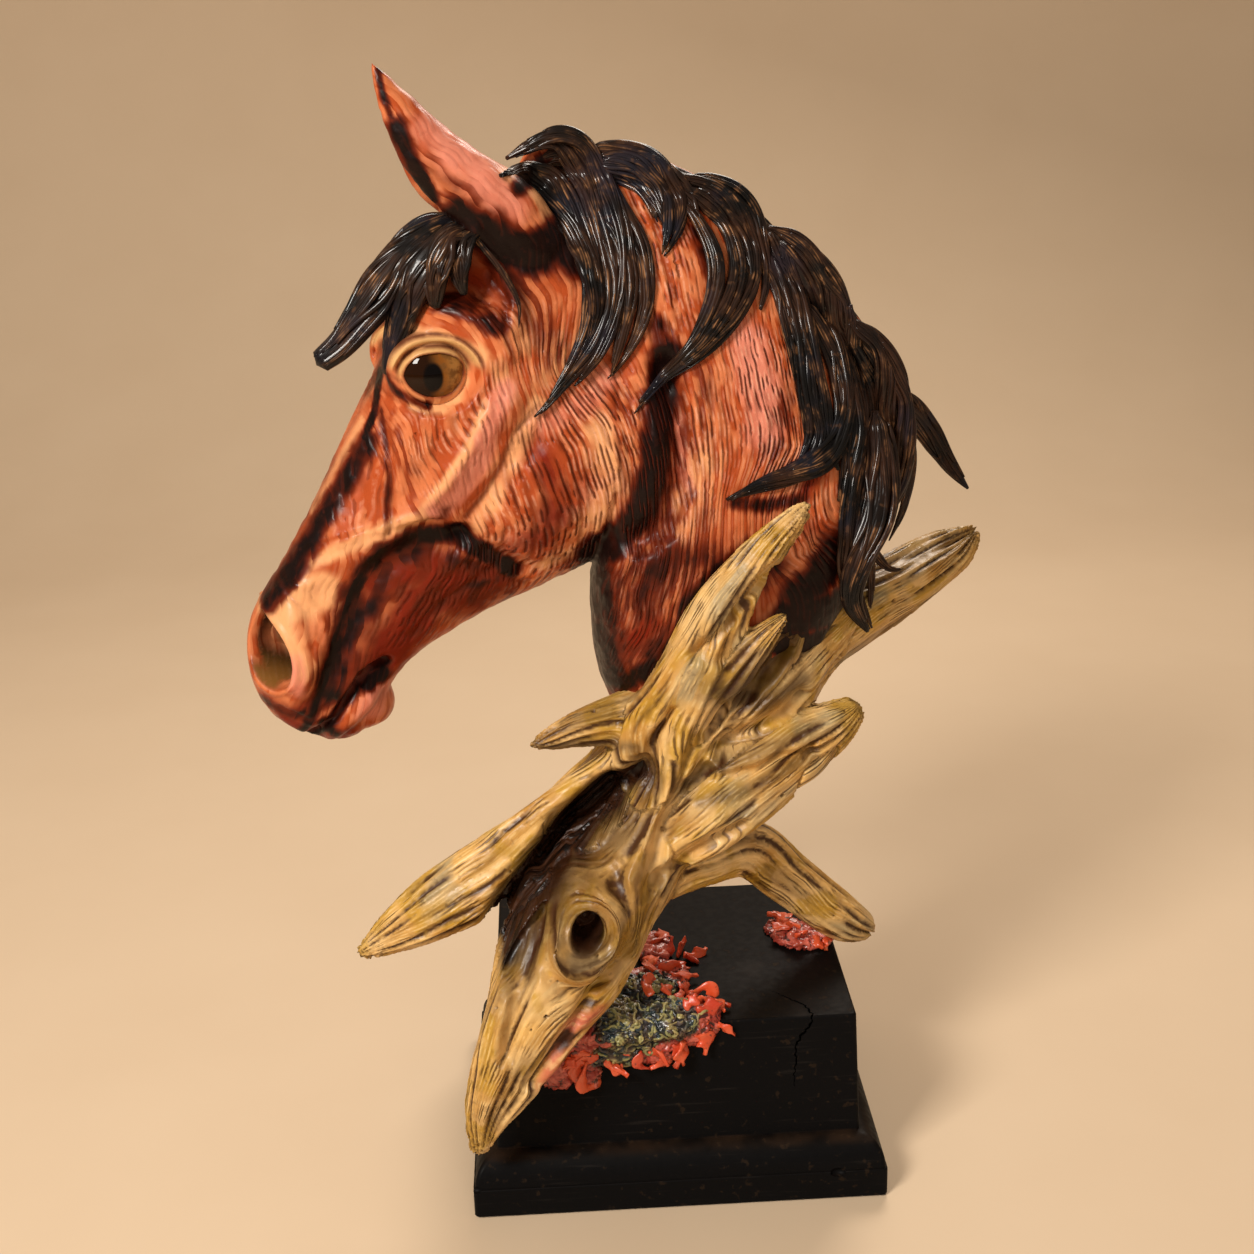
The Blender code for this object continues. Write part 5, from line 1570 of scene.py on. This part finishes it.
# The crack, over the top, the edge and down the front, in figure units
CRACK = ((308, 56, 1), (318, 46, 1), (326, 37, 1), (338, 24, 1), (345, 6, 1), (344, -2, -4), (340, -1, -14),
         (332, -2, -24), (327, -2, -36), (327, -2, -53), (325, -3, -68), (326, -3, -86))
CRACK_WIDTH = 0.9
CHIPS = (((370, -32, -180), 9), ((-30, -31, -178), 7), ((352, -4, 0), 5), ((-4, 330, -2), 6), ((394, -8, -62), 4))


def rounded_ring(half_x, half_y, z, radius, steps=7):
    ring = []
    for quarter, (sx, sy) in enumerate(((1, 1), (-1, 1), (-1, -1), (1, -1))):
        for angle in np.linspace(0, math.pi / 2, steps) + quarter * math.pi / 2:
            ring.append((sx * (half_x - radius) + radius * math.cos(angle),
                         sy * (half_y - radius) + radius * math.sin(angle), z))
    return np.array(ring)


def plinth_profile():
    """(inset, height) from the underside up, in millimetres."""
    turn = np.linspace(0, math.pi / 2, ROUND_STEPS)
    low = [(EDGE_ROUND * (1 - math.sin(a)), EDGE_ROUND * (1 - math.cos(a))) for a in turn]
    slab = [(EDGE_ROUND * 0.6 * (1 - math.cos(a)), SLAB_HEIGHT - EDGE_ROUND * 0.6 * (1 - math.sin(a))) for a in turn]
    ovolo = [(STEP_INSET + (OVOLO_INSET - STEP_INSET) * (1 - math.cos(a)), SLAB_HEIGHT + OVOLO_HEIGHT * math.sin(a))
             for a in np.linspace(0.05, math.pi / 2, 12)]
    top = OVOLO_INSET + BLOCK_TAPER
    block = [(top + EDGE_ROUND * (1 - math.cos(a)), BLOCK_TOP - EDGE_ROUND * (1 - math.sin(a))) for a in turn]
    return low + slab + ovolo + block


def build_plinth():
    half = (PLINTH_HIGH - PLINTH_LOW) / MM / 2
    rings = [rounded_ring(half.x - inset, half.y - inset, z, CORNER_RADIUS) for inset, z in plinth_profile()]
    rings = [(ring * MM - CORNER) / UNIT for ring in rings]
    skin = skin_of_rings(rings, rings[0].mean(axis=0), rings[-1].mean(axis=0))
    made = mesh_object("plinth_block", *joined([skin]))
    path = even_path(CRACK, gap=3.0)
    chance = np.random.default_rng(3)
    path[:, 0] += chance.uniform(-1.6, 1.6, len(path))
    share = np.linspace(0, 1, len(path))
    wide = CRACK_WIDTH * (0.35 + 1.3 * np.sin(share * math.pi) * chance.uniform(0.5, 1.2, len(path)))
    cutters = [tube(path, wide, np.full(len(path), 6.0), np.tile([0.0, -0.7, 0.7], (len(path), 1)), 8)]
    cutters += [blob(centre, (size, size * 0.7, size * 0.6), 2) for centre, size in CHIPS]
    for k, cutter in enumerate(cutters):
        tool = mesh_object(f"cutter_{k}", *joined([cutter]))
        cut = made.modifiers.new("Cut", "BOOLEAN")
        cut.operation = "DIFFERENCE"
        cut.solver = "EXACT"
        cut.object = tool
        bpy.context.view_layer.update()
        apply_modifiers(made)
        bpy.data.objects.remove(tool)
    finished(made, "plinth", slot="black_lacquer")
    made.data.set_sharp_from_angle(angle=math.radians(35))
    weighted = made.modifiers.new("Flat faces", "WEIGHTED_NORMAL")
    weighted.weight = 100
    weighted.keep_sharp = True
    return made


plinth = build_plinth()

# %% Eyes
PUPIL = (156.0, 708.5)


def build_eye(side, name):
    forward, up, left = EYE_PLACE
    head, faces = blob(np.array([forward, up, side * left]), EYE_SIZE, 5)
    points = head_to_figure(head)
    made = mesh_object(name, points, outward_faces(points, faces))
    brush(made, "iris", np.hypot((head[:, 0] - PUPIL[0]) * 1.5, head[:, 1] - PUPIL[1]))
    brush(made, "front", head[:, 0] - PUPIL[0])
    return finished(made, "eye_" + name.split("_")[-1], slot="eye")


near_eye = build_eye(1, "glass_eye_left")
far_eye = build_eye(-1, "glass_eye_right")

# %% [markdown]
# ## Paint
#
# Each finish is painted the way the real one was: a base colour with patches blended wet, a thin dark wash that
# settles in the grooves, and a light dry brush that only touches the ridges. On top of that, light and shade are
# painted in: painted shade on the coat, in the nostrils and in the wood's hollows, painted light on the nostrils'
# lower walls and the plinth's top, a painted sheen on the hair and a painted highlight with the dust on the plinth's
# ledge.
# Three node groups are shared: one combs fine strokes along the way stored on the mesh, one lays wash and dry brush,
# and one gives the grain of cast resin.


# %% Nodes in short words
def node(tree, kind, inputs, **settings):
    """A new node. Each input is a number, a colour or another node's output."""
    made = tree.nodes.new(kind)
    for name, value in settings.items():
        setattr(made, name, value)
    for key, value in inputs.items():
        if isinstance(value, bpy.types.NodeSocket):
            tree.links.new(value, made.inputs[key])
        else:
            made.inputs[key].default_value = value
    return made


def calc(tree, operation, first, second):
    return node(tree, "ShaderNodeMath", {0: first, 1: second}, operation=operation).outputs[0]


def times(tree, first, second):
    return calc(tree, "MULTIPLY", first, second)


def stepped(tree, value, low, high):
    """0 below low, 1 above high, smooth between. With low above high it falls instead."""
    falls = low > high
    inputs = {"Value": value, "From Min": min(low, high), "From Max": max(low, high),
              "To Min": float(falls), "To Max": float(not falls)}
    return node(tree, "ShaderNodeMapRange", inputs, interpolation_type="SMOOTHSTEP").outputs[0]


def blended(tree, share, first, second):
    """The second colour laid over the first by the share."""
    return node(tree, "ShaderNodeMix", {0: share, 6: first, 7: second}, data_type="RGBA").outputs[2]


def where(tree):
    """The place on the mesh in millimetres."""
    spot = node(tree, "ShaderNodeTexCoord", {}).outputs["Object"]
    return node(tree, "ShaderNodeVectorMath", {0: spot, 3: 1 / MM}, operation="SCALE").outputs[0]


def mottle(tree, spot, size, detail=2.0):
    """Soft random patches of about this size in millimetres."""
    return node(tree, "ShaderNodeTexNoise", {"Vector": spot, "Scale": 0.7 / size, "Detail": detail}).outputs[0]


def patches(tree, spot, size, low, high, detail=2.0):
    """0 or 1 in soft random patches: 0 where the mottle is below low, 1 where it is above high."""
    return stepped(tree, mottle(tree, spot, size, detail), low, high)


def painted(tree, name):
    return node(tree, "ShaderNodeAttribute", {}, attribute_name=name).outputs["Fac"]


def group_of(name, inputs, outputs):
    """An empty node group with named sockets, and its two end nodes."""
    group = bpy.data.node_groups.new(name, "ShaderNodeTree")
    for label, kind, value in inputs:
        group.interface.new_socket(label, in_out="INPUT", socket_type=kind).default_value = value
    for label, kind in outputs:
        group.interface.new_socket(label, in_out="OUTPUT", socket_type=kind)
    return group, group.nodes.new("NodeGroupInput").outputs, group.nodes.new("NodeGroupOutput").inputs


def use(tree, group, inputs):
    return node(tree, "ShaderNodeGroup", inputs, node_tree=group).outputs


# %% Shared group: fine strokes, each with its own length and tone
FLOAT, VECTOR, COLOUR = "NodeSocketFloat", "NodeSocketVector", "NodeSocketColor"


def streaks(tree, row, along, part, scale):
    """Random values that change from row to row, and slowly along each row."""
    spot = node(tree, "ShaderNodeCombineXYZ", {"X": row, "Y": along, "Z": part}).outputs[0]
    return node(tree, "ShaderNodeTexNoise", {"Vector": spot, "Scale": scale, "Detail": 0.0}).outputs[0]


def strokes_group():
    group, given, made = group_of(
        "Combed strokes",
        [("Comb", VECTOR, (0, 0, 0)), ("Spacing", FLOAT, 2.0), ("Length", FLOAT, 12.0), ("Wave", FLOAT, 1.0)],
        [("Height", FLOAT), ("Groove", FLOAT), ("Ridge", FLOAT), ("Tone", FLOAT)])
    across, along, part = node(group, "ShaderNodeSeparateXYZ", {"Vector": given["Comb"]}).outputs
    bend = streaks(group, times(group, across, 0.35), along, part, calc(group, "DIVIDE", 1.2, given["Length"]))
    bend = times(group, calc(group, "SUBTRACT", bend, 0.5), times(group, given["Wave"], 4.0))
    across = calc(group, "DIVIDE", calc(group, "ADD", across, bend), given["Spacing"])
    along = calc(group, "DIVIDE", along, given["Length"])
    gap = calc(group, "ABSOLUTE", calc(group, "SUBTRACT", calc(group, "FRACT", across, 0.0), 0.5), 0.0)
    row = calc(group, "FLOOR", across, 0.0)
    deep = stepped(group, streaks(group, times(group, row, 3.7), along, part, 1.9), 0.40, 0.60)
    ridge_row = calc(group, "FLOOR", calc(group, "ADD", across, 0.5), 0.0)
    tone = streaks(group, times(group, ridge_row, 5.3), times(group, along, 0.6), part, 1.7)
    valley = times(group, stepped(group, gap, 0.42, 0.0), deep)
    line = calc(group, "SUBTRACT", times(group, deep, 0.22), gap)
    group.links.new(calc(group, "SUBTRACT", 1.0, valley), made["Height"])
    group.links.new(stepped(group, line, 0.0, 0.1), made["Groove"])
    group.links.new(stepped(group, gap, 0.22, 0.42), made["Ridge"])
    group.links.new(stepped(group, tone, 0.36, 0.64), made["Tone"])
    return group


STROKES = strokes_group()


# %% Shared groups: wash with dry brush, and the grain of the casting
def wash_group():
    group, given, made = group_of(
        "Wash and dry brush",
        [("Color", COLOUR, (0.5, 0.5, 0.5, 1)), ("Groove", FLOAT, 0.0), ("Ridge", FLOAT, 0.0),
         ("Wash Color", COLOUR, (0, 0, 0, 1)), ("Wash", FLOAT, 0.7), ("Brush Color", COLOUR, (1, 1, 1, 1)),
         ("Brush", FLOAT, 0.4)],
        [("Color", COLOUR)])
    spot = where(group)
    pool = times(group, given["Groove"], given["Wash"])
    pool = times(group, pool, patches(group, spot, 5.0, 0.2, 0.5))
    touch = times(group, given["Ridge"], given["Brush"])
    touch = times(group, touch, patches(group, spot, 3.0, 0.42, 0.62, 4.0))
    colour = blended(group, touch, given["Color"], given["Brush Color"])
    group.links.new(blended(group, pool, colour, given["Wash Color"]), made["Color"])
    return group


def grain_group():
    group, given, made = group_of(
        "Cast grain",
        [("Color", COLOUR, (0.5, 0.5, 0.5, 1)), ("Fleck Color", COLOUR, (0, 0, 0, 1)), ("Flecks", FLOAT, 0.3),
         ("Roughness", FLOAT, 0.4)],
        [("Color", COLOUR), ("Roughness", FLOAT), ("Height", FLOAT)])
    spot = where(group)
    fine, broad = mottle(group, spot, 0.5, 3.0), mottle(group, spot, 2.2, 3.0)
    fleck = times(group, stepped(group, broad, 0.62, 0.72), given["Flecks"])
    group.links.new(blended(group, fleck, given["Color"], given["Fleck Color"]), made["Color"])
    shift = times(group, calc(group, "SUBTRACT", broad, 0.5), 0.5)
    group.links.new(calc(group, "ADD", given["Roughness"], shift), made["Roughness"])
    group.links.new(calc(group, "ADD", times(group, fine, 0.35), broad), made["Height"])
    return group


WASH = wash_group()
GRAIN = grain_group()


# %% A painted finish from its parts
def finish_of(name, coat_weight=0.0, coat_roughness=0.25, specular=0.5):
    """A new material with its own gloss, its node tree and its shader."""
    made = bpy.data.materials.new(name)
    made.use_nodes = True
    tree = made.node_tree
    shader = tree.nodes["Principled BSDF"]
    shader.inputs["Coat Weight"].default_value = coat_weight
    shader.inputs["Coat Roughness"].default_value = coat_roughness
    shader.inputs["Specular IOR Level"].default_value = specular
    return made, tree, shader


def bump(tree, height, distance, under=None):
    """A normal from a height, distance in millimetres for a height of 1."""
    inputs = {"Height": height, "Strength": 1.0, "Distance": distance * MM}
    if under is not None:
        inputs["Normal"] = under
    return node(tree, "ShaderNodeBump", inputs).outputs[0]


def connect(tree, shader, **sockets):
    for label, value in sockets.items():
        tree.links.new(value, shader.inputs[label.replace("_", " ")])


def washed(tree, colour, groove, ridge, wash, dry):
    """The colour with a wash in the grooves and a dry brush on the ridges, each given as (colour, strength)."""
    return use(tree, WASH, {"Color": colour, "Groove": groove, "Ridge": ridge, "Wash Color": wash[0], "Wash": wash[1],
                            "Brush Color": dry[0], "Brush": dry[1]})["Color"]


def cast_grain(tree, shader, colour, fleck, flecks, roughness, height, relief=None):
    """The last layer: flecks and fine grain over the colour and over the relief's normal."""
    grain = use(tree, GRAIN, {"Color": colour, "Fleck Color": fleck, "Flecks": flecks, "Roughness": roughness})
    normal = bump(tree, grain["Height"], height, relief)
    connect(tree, shader, Base_Color=grain["Color"], Roughness=grain["Roughness"], Normal=normal)


def paint(made, material):
    made.data.materials.clear()
    made.data.materials.append(material)


# %% Coat of the horse
CHEEK, CHEEK_LIGHT = (0.38, 0.062, 0.014, 1), (0.58, 0.165, 0.060, 1)
TONES = (("tan", (0.72, 0.33, 0.14, 1)), ("pink", (0.68, 0.22, 0.14, 1)), ("red", (0.17, 0.011, 0.002, 1)))
# Colours of the shade mask, painted shade over the dark paint: deep red-brown, then near black
DEEP_SHADE, SHADOW = (0.12, 0.013, 0.003, 1), (0.006, 0.0016, 0.0012, 1)
LID_CREAM, NOSTRIL_PAINTED_SHADE, NOSTRIL_PAINTED_LIGHT = (0.60, 0.34, 0.13, 1), (0.004, 0.002, 0.001, 1), (0.20, 0.085, 0.018, 1)
COAT_WASH, COAT_DRY = ((0.075, 0.009, 0.003, 1), 0.9), ((0.86, 0.44, 0.28, 1), 0.5)
COAT_FLECK = (0.08, 0.012, 0.006, 1)


def comb_of(tree):
    return node(tree, "ShaderNodeAttribute", {}, attribute_name="comb").outputs["Vector"]


def ragged(tree, mask, tone, spot, size, rough, low, high):
    """A painted mask whose edge follows the strokes and wanders in patches."""
    shake = calc(tree, "ADD", times(tree, tone, 0.35), mottle(tree, spot, size))
    shake = times(tree, calc(tree, "SUBTRACT", shake, 0.68), rough)
    return stepped(tree, calc(tree, "ADD", mask, shake), low, high)


def coat_finish():
    made, tree, shader = finish_of("painted_coat", 0.06, 0.25, 0.14)
    spot = where(tree)
    strokes = use(tree, STROKES, {"Comb": comb_of(tree), "Spacing": 1.5, "Length": 12.0, "Wave": 0.9})
    tone = times(tree, calc(tree, "SUBTRACT", strokes["Tone"], 0.5), painted(tree, "side"))
    tone = calc(tree, "ADD", tone, 0.5)
    depth = calc(tree, "ADD", times(tree, painted(tree, "depth"), 0.9), 0.04)
    warm = calc(tree, "ADD", times(tree, mottle(tree, spot, 9.0), 0.7), times(tree, tone, 0.3))
    colour = blended(tree, stepped(tree, warm, 0.38, 0.66), CHEEK, CHEEK_LIGHT)
    for name, shade in TONES:
        colour = blended(tree, ragged(tree, painted(tree, name), tone, spot, 7.0, 0.6, 0.1, 0.9), colour, shade)
    colour = blended(tree, painted(tree, "lid"), colour, LID_CREAM)
    # Painted shade, with the dark brown paint: deep red-brown where the shade mask is middling, near black where it
    # is strong
    dark = ragged(tree, painted(tree, "shade"), calc(tree, "SUBTRACT", 1.0, tone), spot, 6.0, 0.55, 0.05, 1.05)
    colour = blended(tree, stepped(tree, dark, 0.0, 0.6), colour, DEEP_SHADE)
    colour = blended(tree, stepped(tree, dark, 0.45, 0.95), colour, SHADOW)
    # Painted shade inside the nostril, with gold-brown painted light on its lower wall
    nostril_light_and_shade = blended(tree, painted(tree, "nostril_painted_light"), NOSTRIL_PAINTED_SHADE, NOSTRIL_PAINTED_LIGHT)
    colour = blended(tree, painted(tree, "inside"), colour, nostril_light_and_shade)
    groove = calc(tree, "MAXIMUM", times(tree, strokes["Groove"], depth), painted(tree, "groove"))
    ridge = times(tree, times(tree, strokes["Ridge"], depth),
                 stepped(tree, calc(tree, "MAXIMUM", dark, painted(tree, "red")), 0.75, 0.05))
    colour = washed(tree, colour, groove, ridge, COAT_WASH, COAT_DRY)
    relief = bump(tree, times(tree, strokes["Height"], depth), 0.55)
    cast_grain(tree, shader, colour, COAT_FLECK, 0.12, 0.38, 0.07, relief)
    return made


paint(coat, coat_finish())


# %% Hair of the mane and forelock
HAIR_BLACK, HAIR_BROWN = (0.0045, 0.0036, 0.0034, 1), (0.032, 0.013, 0.007, 1)
HAIR_PAINTED_SHEEN, HAIR_FLECK = (0.012, 0.013, 0.022, 1), (0.16, 0.07, 0.03, 1)
HAIR_WASH, HAIR_DRY = ((0.0025, 0.002, 0.002, 1), 0.9), ((0.26, 0.12, 0.05, 1), 0.85)


def hair_finish():
    made, tree, shader = finish_of("black_hair", 0.3, 0.1, 0.1)
    spot = where(tree)
    strokes = use(tree, STROKES, {"Comb": comb_of(tree), "Spacing": 0.95, "Length": 16.0, "Wave": 0.5})
    rib = painted(tree, "rib")
    base = blended(tree, patches(tree, spot, 12.0, 0.35, 0.65), HAIR_BLACK, HAIR_BROWN)
    # Painted sheen: blue-grey patches on the black, as a reflection on the gloss
    base = blended(tree, times(tree, patches(tree, spot, 16.0, 0.52, 0.66), 0.6), base, HAIR_PAINTED_SHEEN)
    groove = calc(tree, "MAXIMUM", stepped(tree, rib, 0.55, 0.2), times(tree, strokes["Groove"], 0.7))
    ridge = times(tree, stepped(tree, rib, 0.5, 0.9), calc(tree, "ADD", strokes["Ridge"], 0.25))
    gold = times(tree, patches(tree, spot, 7.0, 0.44, 0.58, 3.0), strokes["Tone"])
    colour = washed(tree, base, groove, times(tree, ridge, gold), HAIR_WASH, HAIR_DRY)
    relief = bump(tree, strokes["Height"], 0.22)
    cast_grain(tree, shader, colour, HAIR_FLECK, 0.25, 0.36, 0.08, relief)
    return made


HAIR = hair_finish()
for hair in (mane_front, mane_back, mane_far_side, forelock):
    paint(hair, HAIR)


# %% Weathered wood
WOOD_DARK, WOOD_LIGHT = (0.43, 0.205, 0.036, 1), (0.70, 0.41, 0.13, 1)
WOOD_CREAM, WOOD_OCHRE = (0.78, 0.52, 0.23, 1), (0.46, 0.245, 0.020, 1)
WOOD_GREY, WOOD_RED, WOOD_FLECK = (0.30, 0.235, 0.13, 1), (0.55, 0.12, 0.08, 1), (0.05, 0.02, 0.008, 1)
WOOD_WASH, WOOD_DRY = ((0.045, 0.013, 0.003, 1), 0.97), ((0.82, 0.58, 0.26, 1), 0.45)


def wood_finish():
    made, tree, shader = finish_of("painted_driftwood", 0.08, 0.3, 0.3)
    spot = where(tree)
    lines = use(tree, STROKES, {"Comb": comb_of(tree), "Spacing": 1.6, "Length": 30.0, "Wave": 1.6})
    bands = use(tree, STROKES, {"Comb": comb_of(tree), "Spacing": 5.0, "Length": 44.0, "Wave": 2.5})
    whole = calc(tree, "SUBTRACT", 1.0, painted(tree, "seam"))
    streak = calc(tree, "ADD", times(tree, bands["Tone"], 0.6), times(tree, lines["Tone"], 0.4))
    streak = calc(tree, "ADD", times(tree, calc(tree, "SUBTRACT", streak, 0.5), whole), 0.5)
    colour = blended(tree, streak, WOOD_DARK, WOOD_LIGHT)
    colour = blended(tree, times(tree, patches(tree, spot, 16.0, 0.46, 0.62), 0.55), colour, WOOD_CREAM)
    colour = blended(tree, times(tree, patches(tree, spot, 12.0, 0.5, 0.6, 3.0), 0.8), colour, WOOD_OCHRE)
    grey = times(tree, patches(tree, spot, 20.0, 0.53, 0.64, 3.0), streak)
    colour = blended(tree, times(tree, grey, 0.8), colour, WOOD_GREY)
    colour = blended(tree, painted(tree, "blush"), colour, WOOD_RED)
    # Painted shade in the hollows: near black with faint streaks along the grain
    hollow_shade_colour = calc(tree, "ADD", times(tree, lines["Tone"], 0.03), 0.003)
    hollow_shade_colour = node(tree, "ShaderNodeCombineColor", {0: hollow_shade_colour, 1: times(tree, hollow_shade_colour, 0.33),
                                                  2: times(tree, hollow_shade_colour, 0.12)}).outputs[0]
    colour = blended(tree, painted(tree, "painted_hollow_shade"), colour, hollow_shade_colour)
    patch = patches(tree, spot, 9.0, 0.42, 0.60)
    groove = times(tree, times(tree, lines["Groove"], patch), times(tree, whole, 0.8))
    groove = calc(tree, "MAXIMUM", groove, painted(tree, "groove"))
    ridge = times(tree, lines["Ridge"], calc(tree, "SUBTRACT", 1.0, painted(tree, "groove")))
    ridge = times(tree, ridge, calc(tree, "SUBTRACT", 1.0, painted(tree, "painted_hollow_shade")))
    colour = washed(tree, colour, groove, ridge, WOOD_WASH, WOOD_DRY)
    relief = bump(tree, times(tree, times(tree, lines["Height"], whole), patch), 0.45)
    cast_grain(tree, shader, colour, WOOD_FLECK, 0.3, 0.42, 0.12, relief)
    return made


paint(wood, wood_finish())


# %% Blossom and lichen
GROUND_DARK, GROUND_RED = (0.30, 0.028, 0.016, 1), (0.52, 0.10, 0.065, 1)
MOSS_BLACK, MOSS_BLUE, MOSS_YELLOW = (0.010, 0.014, 0.010, 1), (0.012, 0.030, 0.040, 1), (0.30, 0.28, 0.10, 1)
CORAL_DEEP, CORAL_LIGHT = (0.38, 0.018, 0.007, 1), (0.72, 0.09, 0.022, 1)
BLOSSOM_WASH, BLOSSOM_DRY = ((0.012, 0.006, 0.005, 1), 0.9), ((0.85, 0.30, 0.14, 1), 0.12)
BLOSSOM_FLECK = (0.01, 0.006, 0.006, 1)


def blossom_finish():
    made, tree, shader = finish_of("painted_blossom", 0.3, 0.2)
    spot = where(tree)
    petal_tone, lichen, ridge = painted(tree, "petal"), painted(tree, "lichen"), painted(tree, "ridge")
    ground = blended(tree, patches(tree, spot, 4.0, 0.4, 0.6), GROUND_DARK, GROUND_RED)
    moss = blended(tree, patches(tree, spot, 5.0, 0.45, 0.6), MOSS_BLACK, MOSS_BLUE)
    moss = blended(tree, stepped(tree, ridge, 0.5, 1.0), moss, MOSS_YELLOW)
    coral = blended(tree, petal_tone, CORAL_DEEP, CORAL_LIGHT)
    colour = blended(tree, stepped(tree, lichen, 0.25, 0.5), ground, moss)
    colour = blended(tree, stepped(tree, petal_tone, 0.02, 0.15), colour, coral)
    colour = washed(tree, colour, stepped(tree, ridge, 0.45, 0.15), ridge, BLOSSOM_WASH, BLOSSOM_DRY)
    cast_grain(tree, shader, colour, BLOSSOM_FLECK, 0.9, 0.38, 0.2)
    return made


paint(blossom, blossom_finish())


# %% Black lacquer of the plinth
LACQUER, LACQUER_LIT_TOP = (0.0036, 0.0034, 0.0036, 1), (0.0042, 0.0032, 0.0028, 1)
LEDGE_DUST_AND_HIGHLIGHT, MARK, DUST_FLECK = (0.09, 0.045, 0.022, 1), (0.03, 0.024, 0.02, 1), (0.10, 0.055, 0.025, 1)
# Dust and a painted highlight lie on the ledge of the moulding, where it faces up, between these heights in
# millimetres
LEDGE_LOW, LEDGE_HIGH = (19.5, 22.3), (23.6, 22.6)


def lacquer_finish():
    made, tree, shader = finish_of("black_lacquer", specular=0.05)
    spot = where(tree)
    height = node(tree, "ShaderNodeSeparateXYZ", {"Vector": spot}).outputs["Z"]
    facing = node(tree, "ShaderNodeNewGeometry", {}).outputs["Normal"]
    facing = node(tree, "ShaderNodeSeparateXYZ", {"Vector": facing}).outputs["Z"]
    brushed = node(tree, "ShaderNodeMapping", {"Vector": spot, "Scale": (0.06, 0.06, 1.0)}).outputs[0]
    marks = mottle(tree, brushed, 1.2, 3.0)
    # Painted light: faces that look up are a little lighter and browner than the sides
    colour = blended(tree, stepped(tree, facing, 0.4, 0.9), LACQUER, LACQUER_LIT_TOP)
    above, below = stepped(tree, height, *LEDGE_LOW), stepped(tree, height, *LEDGE_HIGH)
    # Light brown band on the ledge: partly dust, partly a painted highlight
    dust_and_highlight = times(tree, times(tree, above, below), patches(tree, spot, 9.0, 0.3, 0.8))
    colour = blended(tree, times(tree, dust_and_highlight, 0.22), colour, LEDGE_DUST_AND_HIGHLIGHT)
    colour = blended(tree, times(tree, stepped(tree, marks, 0.6, 0.75), 0.25), colour, MARK)
    relief = bump(tree, marks, 0.05)
    cast_grain(tree, shader, colour, DUST_FLECK, 0.12, 0.5, 0.04, relief)
    return made


paint(plinth, lacquer_finish())


# %% Glass of the eyes
AMBER, AMBER_LIGHT, AMBER_DARK = (0.20, 0.062, 0.008, 1), (0.36, 0.17, 0.042, 1), (0.15, 0.06, 0.014, 1)
EYE_BROWN, PUPIL_BLACK = (0.014, 0.004, 0.001, 1), (0.002, 0.001, 0.001, 1)


def eye_finish():
    made, tree, shader = finish_of("amber_eye", 0.4, 0.03, 0.0)
    spot = where(tree)
    radius, front = painted(tree, "iris"), painted(tree, "front")
    amber = blended(tree, stepped(tree, front, -8.0, -26.0), AMBER, AMBER_LIGHT)
    amber = blended(tree, patches(tree, spot, 1.5, 0.4, 0.65, 3.0), amber, AMBER_DARK)
    colour = blended(tree, stepped(tree, front, -10.0, 6.0), amber, EYE_BROWN)
    colour = blended(tree, stepped(tree, radius, 17.0, 12.0), colour, PUPIL_BLACK)
    connect(tree, shader, Base_Color=colour)
    shader.inputs["Roughness"].default_value = 0.18
    return made


EYE = eye_finish()
for eye in (near_eye, far_eye):
    paint(eye, EYE)

# %% [markdown]
# ## Floor and light
#
# A pale plain floor, a large soft key light from the upper left front, a weaker one from the right and one from
# behind that draws the crest. The colours are shown as they are, with no film curve.


# %% Floor, lights and world
def seamless_floor(half=3.0, front=-2.5, bend=0.75, radius=0.5, top=2.2, steps=16):
    """A floor that curves up behind into a plain backdrop."""
    turn = np.linspace(0, math.pi / 2, steps)
    low = -0.3 * MM
    profile = [(front, low)] + [(bend + radius * math.sin(a), low + radius * (1 - math.cos(a))) for a in turn]
    profile.append((bend + radius, top))
    points = [(x, y, z) for y, z in profile for x in (-half, half)]
    faces = [(2 * k, 2 * k + 1, 2 * k + 3, 2 * k + 2) for k in range(len(profile) - 1)]
    mesh = bpy.data.meshes.new("floor")
    mesh.from_pydata(points, [], faces)
    mesh.shade_smooth()
    made = linked("floor", mesh)
    material, tree, shader = finish_of("pale_floor")
    tone = mottle(tree, where(tree), 60.0, 3.0)
    colour = blended(tree, tone, (0.58, 0.43, 0.285, 1), (0.62, 0.47, 0.32, 1))
    connect(tree, shader, Base_Color=colour)
    shader.inputs["Roughness"].default_value = 0.8
    paint(made, material)
    return made


def soft_light(name, watts, spot, size, colour):
    light = bpy.data.lights.new(name, "AREA")
    light.energy = watts
    light.size = size
    light.color = colour
    made = linked(name, light)
    made.location = spot
    made.visible_glossy = name != "fill"
    made.rotation_euler = (Vector((0, 0, 0.22)) - Vector(spot)).to_track_quat("-Z", "Y").to_euler()
    return made


seamless_floor()
soft_light("key", 20, (-0.70, -0.85, 1.00), 0.35, (1.0, 0.95, 0.88))
soft_light("fill", 2.5, (0.12, -1.10, 0.50), 0.35, (1.0, 0.95, 0.90))
soft_light("rim", 7, (0.25, 0.62, 0.90), 0.4, (1.0, 0.92, 0.82))
world = bpy.data.worlds.new("studio")
world.use_nodes = True
world.node_tree.nodes["Background"].inputs["Color"].default_value = (1.0, 0.86, 0.70, 1)
world.node_tree.nodes["Background"].inputs["Strength"].default_value = 0.27
bpy.context.scene.world = world
bpy.context.scene.view_settings.view_transform = "Standard"

# %% Print the frame's size
print("frame", [round(v / MM, 1) for v in CAD_BOX[1] - CAD_BOX[0]], "mm")
